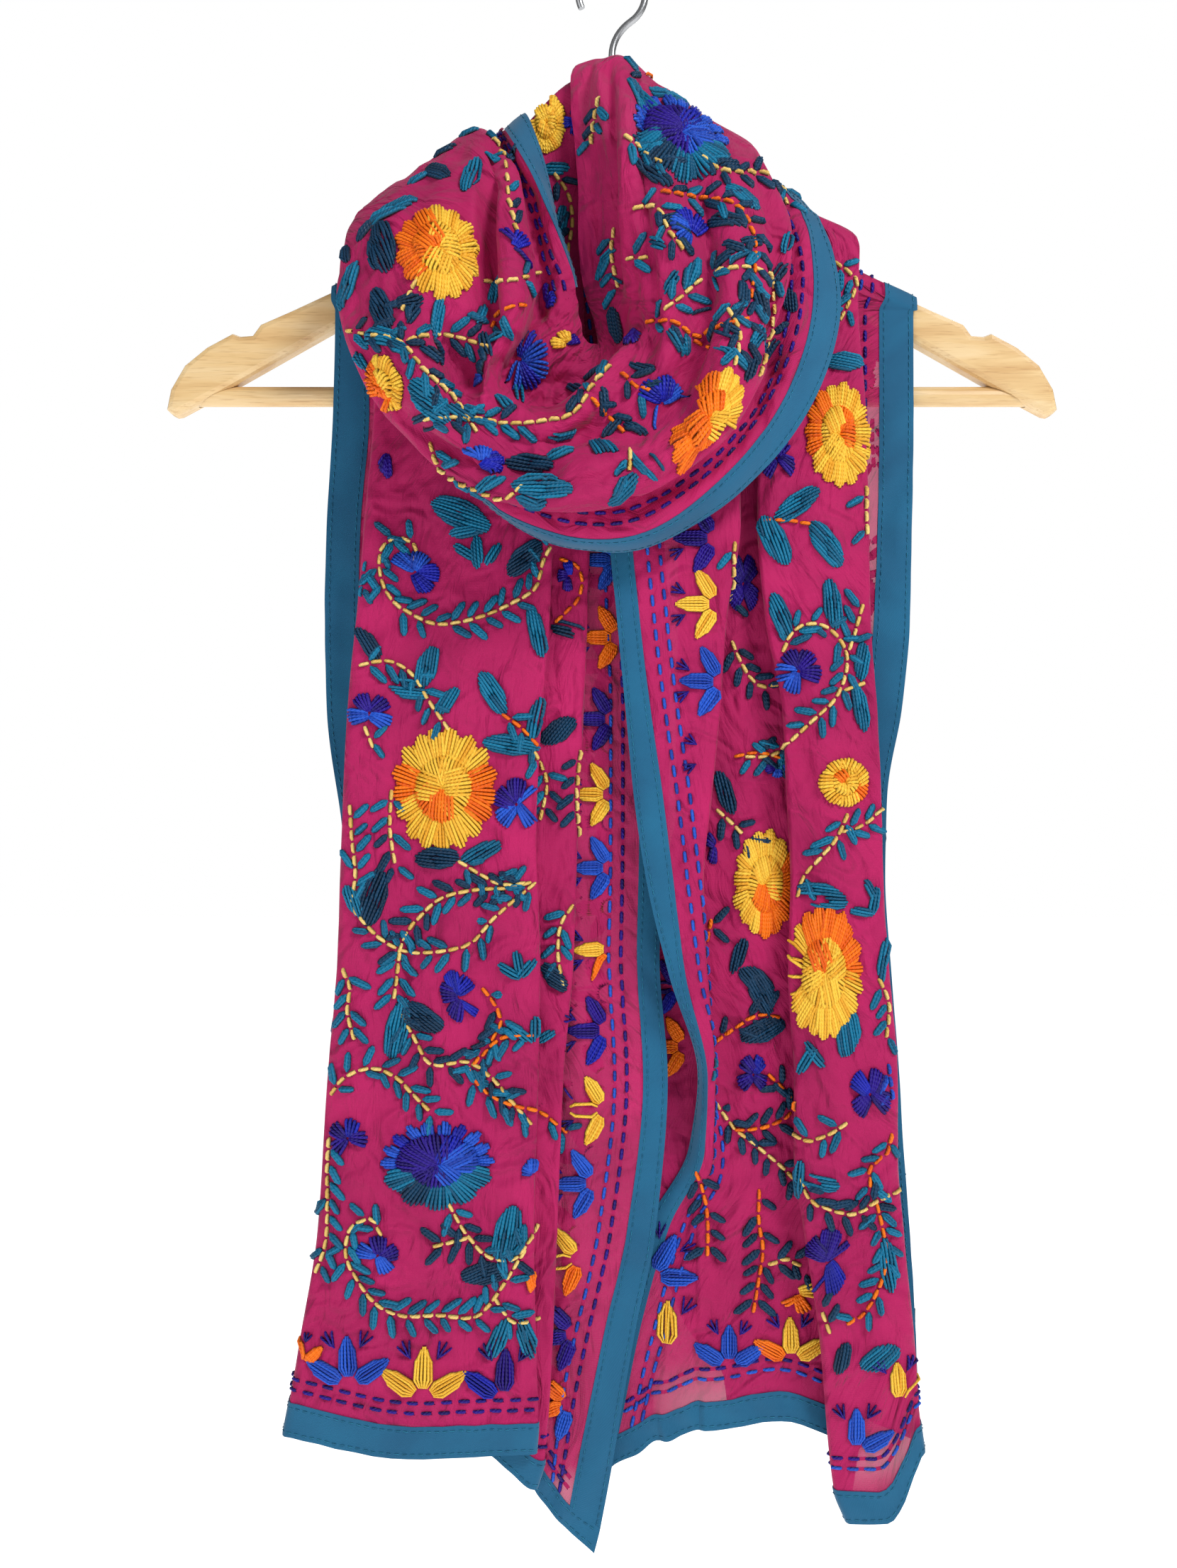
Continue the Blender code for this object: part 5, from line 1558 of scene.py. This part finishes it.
def hook_path():
    """Centre line of the hook: straight stem, side bend, then round over the top."""
    radius = HOOK_INNER_RADIUS + WIRE_RADIUS
    path = [(0.0, STEM_FOOT), (0.0, -80.0), (0.0, HOOK_BEND_START)]
    start = np.array((0.0, HOOK_BEND_START))
    way = np.array((math.cos(HOOK_ENTRY), math.sin(HOOK_ENTRY)))
    end = radius * way + (0.0, -HOOK_INNER_RADIUS)
    lead_in = start + np.array((0.0, BEND_LEAD))
    lead_out = end - BEND_LEAD * np.array((-way[1], way[0]))
    for t in np.linspace(0, 1, 9)[1:-1]:
        path.append(tuple((1 - t) ** 3 * start + 3 * (1 - t) ** 2 * t * lead_in
                          + 3 * (1 - t) * t ** 2 * lead_out + t ** 3 * end))
    for angle in np.linspace(HOOK_ENTRY, HOOK_TIP, 40):
        path.append((radius * math.cos(angle), -HOOK_INNER_RADIUS + radius * math.sin(angle)))
    return path


def build_hook_wire(material):
    curve = bpy.data.curves.new("hook_wire", "CURVE")
    curve.dimensions = "3D"
    curve.bevel_depth = WIRE_RADIUS * MM
    curve.bevel_resolution = 6
    curve.use_fill_caps = True
    path = hook_path()
    spline = curve.splines.new("POLY")
    spline.points.add(len(path) - 1)
    for point, (x, z) in zip(spline.points, path):
        point.co = (x * MM, 0.0, z * MM, 1.0)
    spline.use_smooth = True
    curve.materials.append(material)
    return add_object("hook_wire", curve)


# ---- the add-on ----

FLOOR_HALF = 8000.0        # half the floor's side, far beyond what shows
FLOOR_GLOW = 0.93          # of its own, so that it meets the white wall without a line
LIGHTS_AIM = Vector((0.0, 0.0, -0.4))
LENS = 36.47               # millimetres, on the sensor's width
SENSOR = 36


class ClothSettings(bpy.types.PropertyGroup):
    cloth_hex: bpy.props.StringProperty(
        name="Cloth", description="Colour of the dyed georgette, sRGB hex", default="#BD1A61")
    shade_hex: bpy.props.StringProperty(
        name="Cloth, deeper", description="Colour where the dye took more", default="#A31253")
    tape_hex: bpy.props.StringProperty(
        name="Binding", description="Colour of the twill binding", default="#14648A")
    tape_shade_hex: bpy.props.StringProperty(
        name="Binding, deeper", description="Binding where the dye took more",
        default="#0F557A")
    cover: bpy.props.FloatProperty(
        name="Cover", description="Share of the light that the weave stops",
        default=0.99, min=0.3, max=1.0, subtype="FACTOR")
    sheer_cover: bpy.props.FloatProperty(
        name="Cover where sheer", description="The same where a single layer hangs clear",
        default=0.86, min=0.3, max=1.0, subtype="FACTOR")
    weave_pitch: bpy.props.FloatProperty(
        name="Drawn weave pitch", description="Distance between the drawn yarns",
        default=0.0006, min=0.0002, max=0.002, unit="LENGTH")


class HangerSettings(bpy.types.PropertyGroup):
    wood_hex: bpy.props.StringProperty(
        name="Wood", description="Colour of the beech", default="#DDBB84")
    wood_shade_hex: bpy.props.StringProperty(
        name="Wood, darker grain", description="Colour of the late wood", default="#CDA46C")


class StageSettings(bpy.types.PropertyGroup):
    floor_hex: bpy.props.StringProperty(
        name="Floor", description="Colour of the floor", default="#F4F3F1")
    floor_drop: bpy.props.FloatProperty(
        name="Floor height", description="Height of the floor", default=-1.15, unit="LENGTH")
    key_power: bpy.props.FloatProperty(
        name="Key light", description="Power of the main soft light", default=30.0,
        unit="POWER")
    room_light: bpy.props.FloatProperty(
        name="Room light", description="Strength of the even light all round", default=0.2)


def take_over(made):
    """Let pieces of cloth and tape stand for their nodes."""
    for cad_node, piece in made.items():
        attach(piece, "root")
        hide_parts(cad_node)


class STOLE_OT_tails(bpy.types.Operator):
    """Lay both pleated tails over the arms, with their bindings"""
    bl_idname = "stole.tails"
    bl_label = "Tails"

    def execute(self, context):
        settings = context.scene.stole_cloth
        cloth, tape = georgette_material(settings), tape_material(settings)
        for side in ("left", "right"):
            take_over(build_tail_cloth(side, cloth, tape))
        return {"FINISHED"}


class STOLE_OT_loop(bpy.types.Operator):
    """Wind the cowl in front and the band behind the neck, with their bindings"""
    bl_idname = "stole.loop"
    bl_label = "Loop"

    def execute(self, context):
        take_over(build_loop_cloth(bpy.data.materials["dyed_georgette"],
                                   bpy.data.materials["twill_binding"]))
        return {"FINISHED"}


class STOLE_OT_embroidery(bpy.types.Operator):
    """Lay the flowers, leaves, running rows and machine stitching on the cloth"""
    bl_idname = "stole.embroidery"
    bl_label = "Embroidery"

    def execute(self, context):
        work = embroider()
        for piece in work.values():
            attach(piece, "root")
        return {"FINISHED"}


class STOLE_OT_hanger(bpy.types.Operator):
    """Finish the beech arms and bar, and bend the wire hook"""
    bl_idname = "stole.hanger"
    bl_label = "Hanger"

    def execute(self, context):
        beech = beech_material(context.scene.stole_hanger)
        for name in ("hanger_arms", "hanger_bar"):
            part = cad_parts[name]
            part.data.materials.clear()
            part.data.materials.append(beech)
        wire = build_hook_wire(wire_material())
        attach(wire, "root")
        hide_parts("hanger_hook")
        return {"FINISHED"}


class STOLE_OT_stage(bpy.types.Operator):
    """Set the pale floor, the soft lights and the camera"""
    bl_idname = "stole.stage"
    bl_label = "Stage"

    def execute(self, context):
        settings = context.scene.stole_stage
        scene = context.scene
        world = bpy.data.worlds.new("room")
        scene.world = world
        world.use_nodes = True
        background = world.node_tree.nodes["Background"]
        background.inputs["Color"].default_value = (1.0, 1.0, 1.0, 1.0)
        # The white wall is brighter to look at than the light that it gives.
        seen = node(world.node_tree, "ShaderNodeLightPath")
        strength = node(world.node_tree, "ShaderNodeMapRange",
                        {"Value": (seen, "Is Camera Ray"), "To Min": settings.room_light,
                         "To Max": 1.0})
        world.node_tree.links.new(strength.outputs[0], background.inputs["Strength"])
        floor_paint, tree = new_material("matt_floor_paint")
        tone = node(tree, "ShaderNodeTexNoise", {"Scale": 0.8})
        shade = ramp(tree, (tone, 0), ((0.3, settings.floor_hex), (0.7, "#F7F6F4")))
        surface(tree, {"Base Color": (shade, 0), "Roughness": 0.9,
                       "Emission Color": rgba("#FFFFFF"), "Emission Strength": FLOOR_GLOW})
        drop = settings.floor_drop / MM
        corners = [(FLOOR_HALF * x, FLOOR_HALF * y, drop)
                   for x, y in ((-1, -1), (1, -1), (1, 1), (-1, 1))]
        floor = add_mesh("floor", corners, [(0, 1, 2, 3)], [floor_paint])
        lights = (
            ("key_softbox", (1.0, -1.3, 1.0), settings.key_power, 0.6),
            ("fill_softbox", (-1.5, -1.4, 0.1), settings.key_power * 0.25, 1.4),
            ("back_softbox", (0.3, 1.8, 0.9), settings.key_power * 0.4, 1.4),
        )
        for name, place, power, size in lights:
            lamp = bpy.data.lights.new(name, "AREA")
            lamp.energy = power
            lamp.size = size
            thing = add_object(name, lamp)
            thing.location = place
            way = LIGHTS_AIM - Vector(place)
            thing.rotation_euler = way.to_track_quat("-Z", "Y").to_euler()
        camera = add_object("camera", bpy.data.cameras.new("camera"))
        camera.location = EYE * MM
        camera.rotation_euler = (math.radians(90), 0, 0)
        camera.data.sensor_width = SENSOR
        camera.data.lens = LENS
        scene.camera = camera
        scene.view_settings.view_transform = "Standard"
        return {"FINISHED"}


class STOLE_PT_panel(bpy.types.Panel):
    bl_idname = "STOLE_PT_panel"
    bl_label = "Stole"
    bl_space_type = "VIEW_3D"
    bl_region_type = "UI"
    bl_category = "Stole"

    def draw(self, context):
        for name in ("stole_cloth", "stole_hanger", "stole_stage"):
            group = getattr(context.scene, name)
            box = self.layout.box()
            for key in group.__annotations__:
                box.prop(group, key)
        for operator in OPERATORS:
            self.layout.operator(operator.bl_idname)


OPERATORS = (STOLE_OT_hanger, STOLE_OT_tails, STOLE_OT_loop, STOLE_OT_embroidery,
             STOLE_OT_stage)
GROUPS = (("stole_cloth", ClothSettings), ("stole_hanger", HangerSettings),
          ("stole_stage", StageSettings))


def register():
    for name, group in GROUPS:
        bpy.utils.register_class(group)
        setattr(bpy.types.Scene, name, bpy.props.PointerProperty(type=group))
    for thing in (*OPERATORS, STOLE_PT_panel):
        bpy.utils.register_class(thing)


def unregister():
    for thing in (STOLE_PT_panel, *reversed(OPERATORS)):
        bpy.utils.unregister_class(thing)
    for name, group in reversed(GROUPS):
        delattr(bpy.types.Scene, name)
        bpy.utils.unregister_class(group)


def main():
    register()
    for operator in OPERATORS:
        family, name = operator.bl_idname.split(".")
        getattr(getattr(bpy.ops, family), name)()
    bpy.context.view_layer.update()


if __name__ == "__main__":
    main()
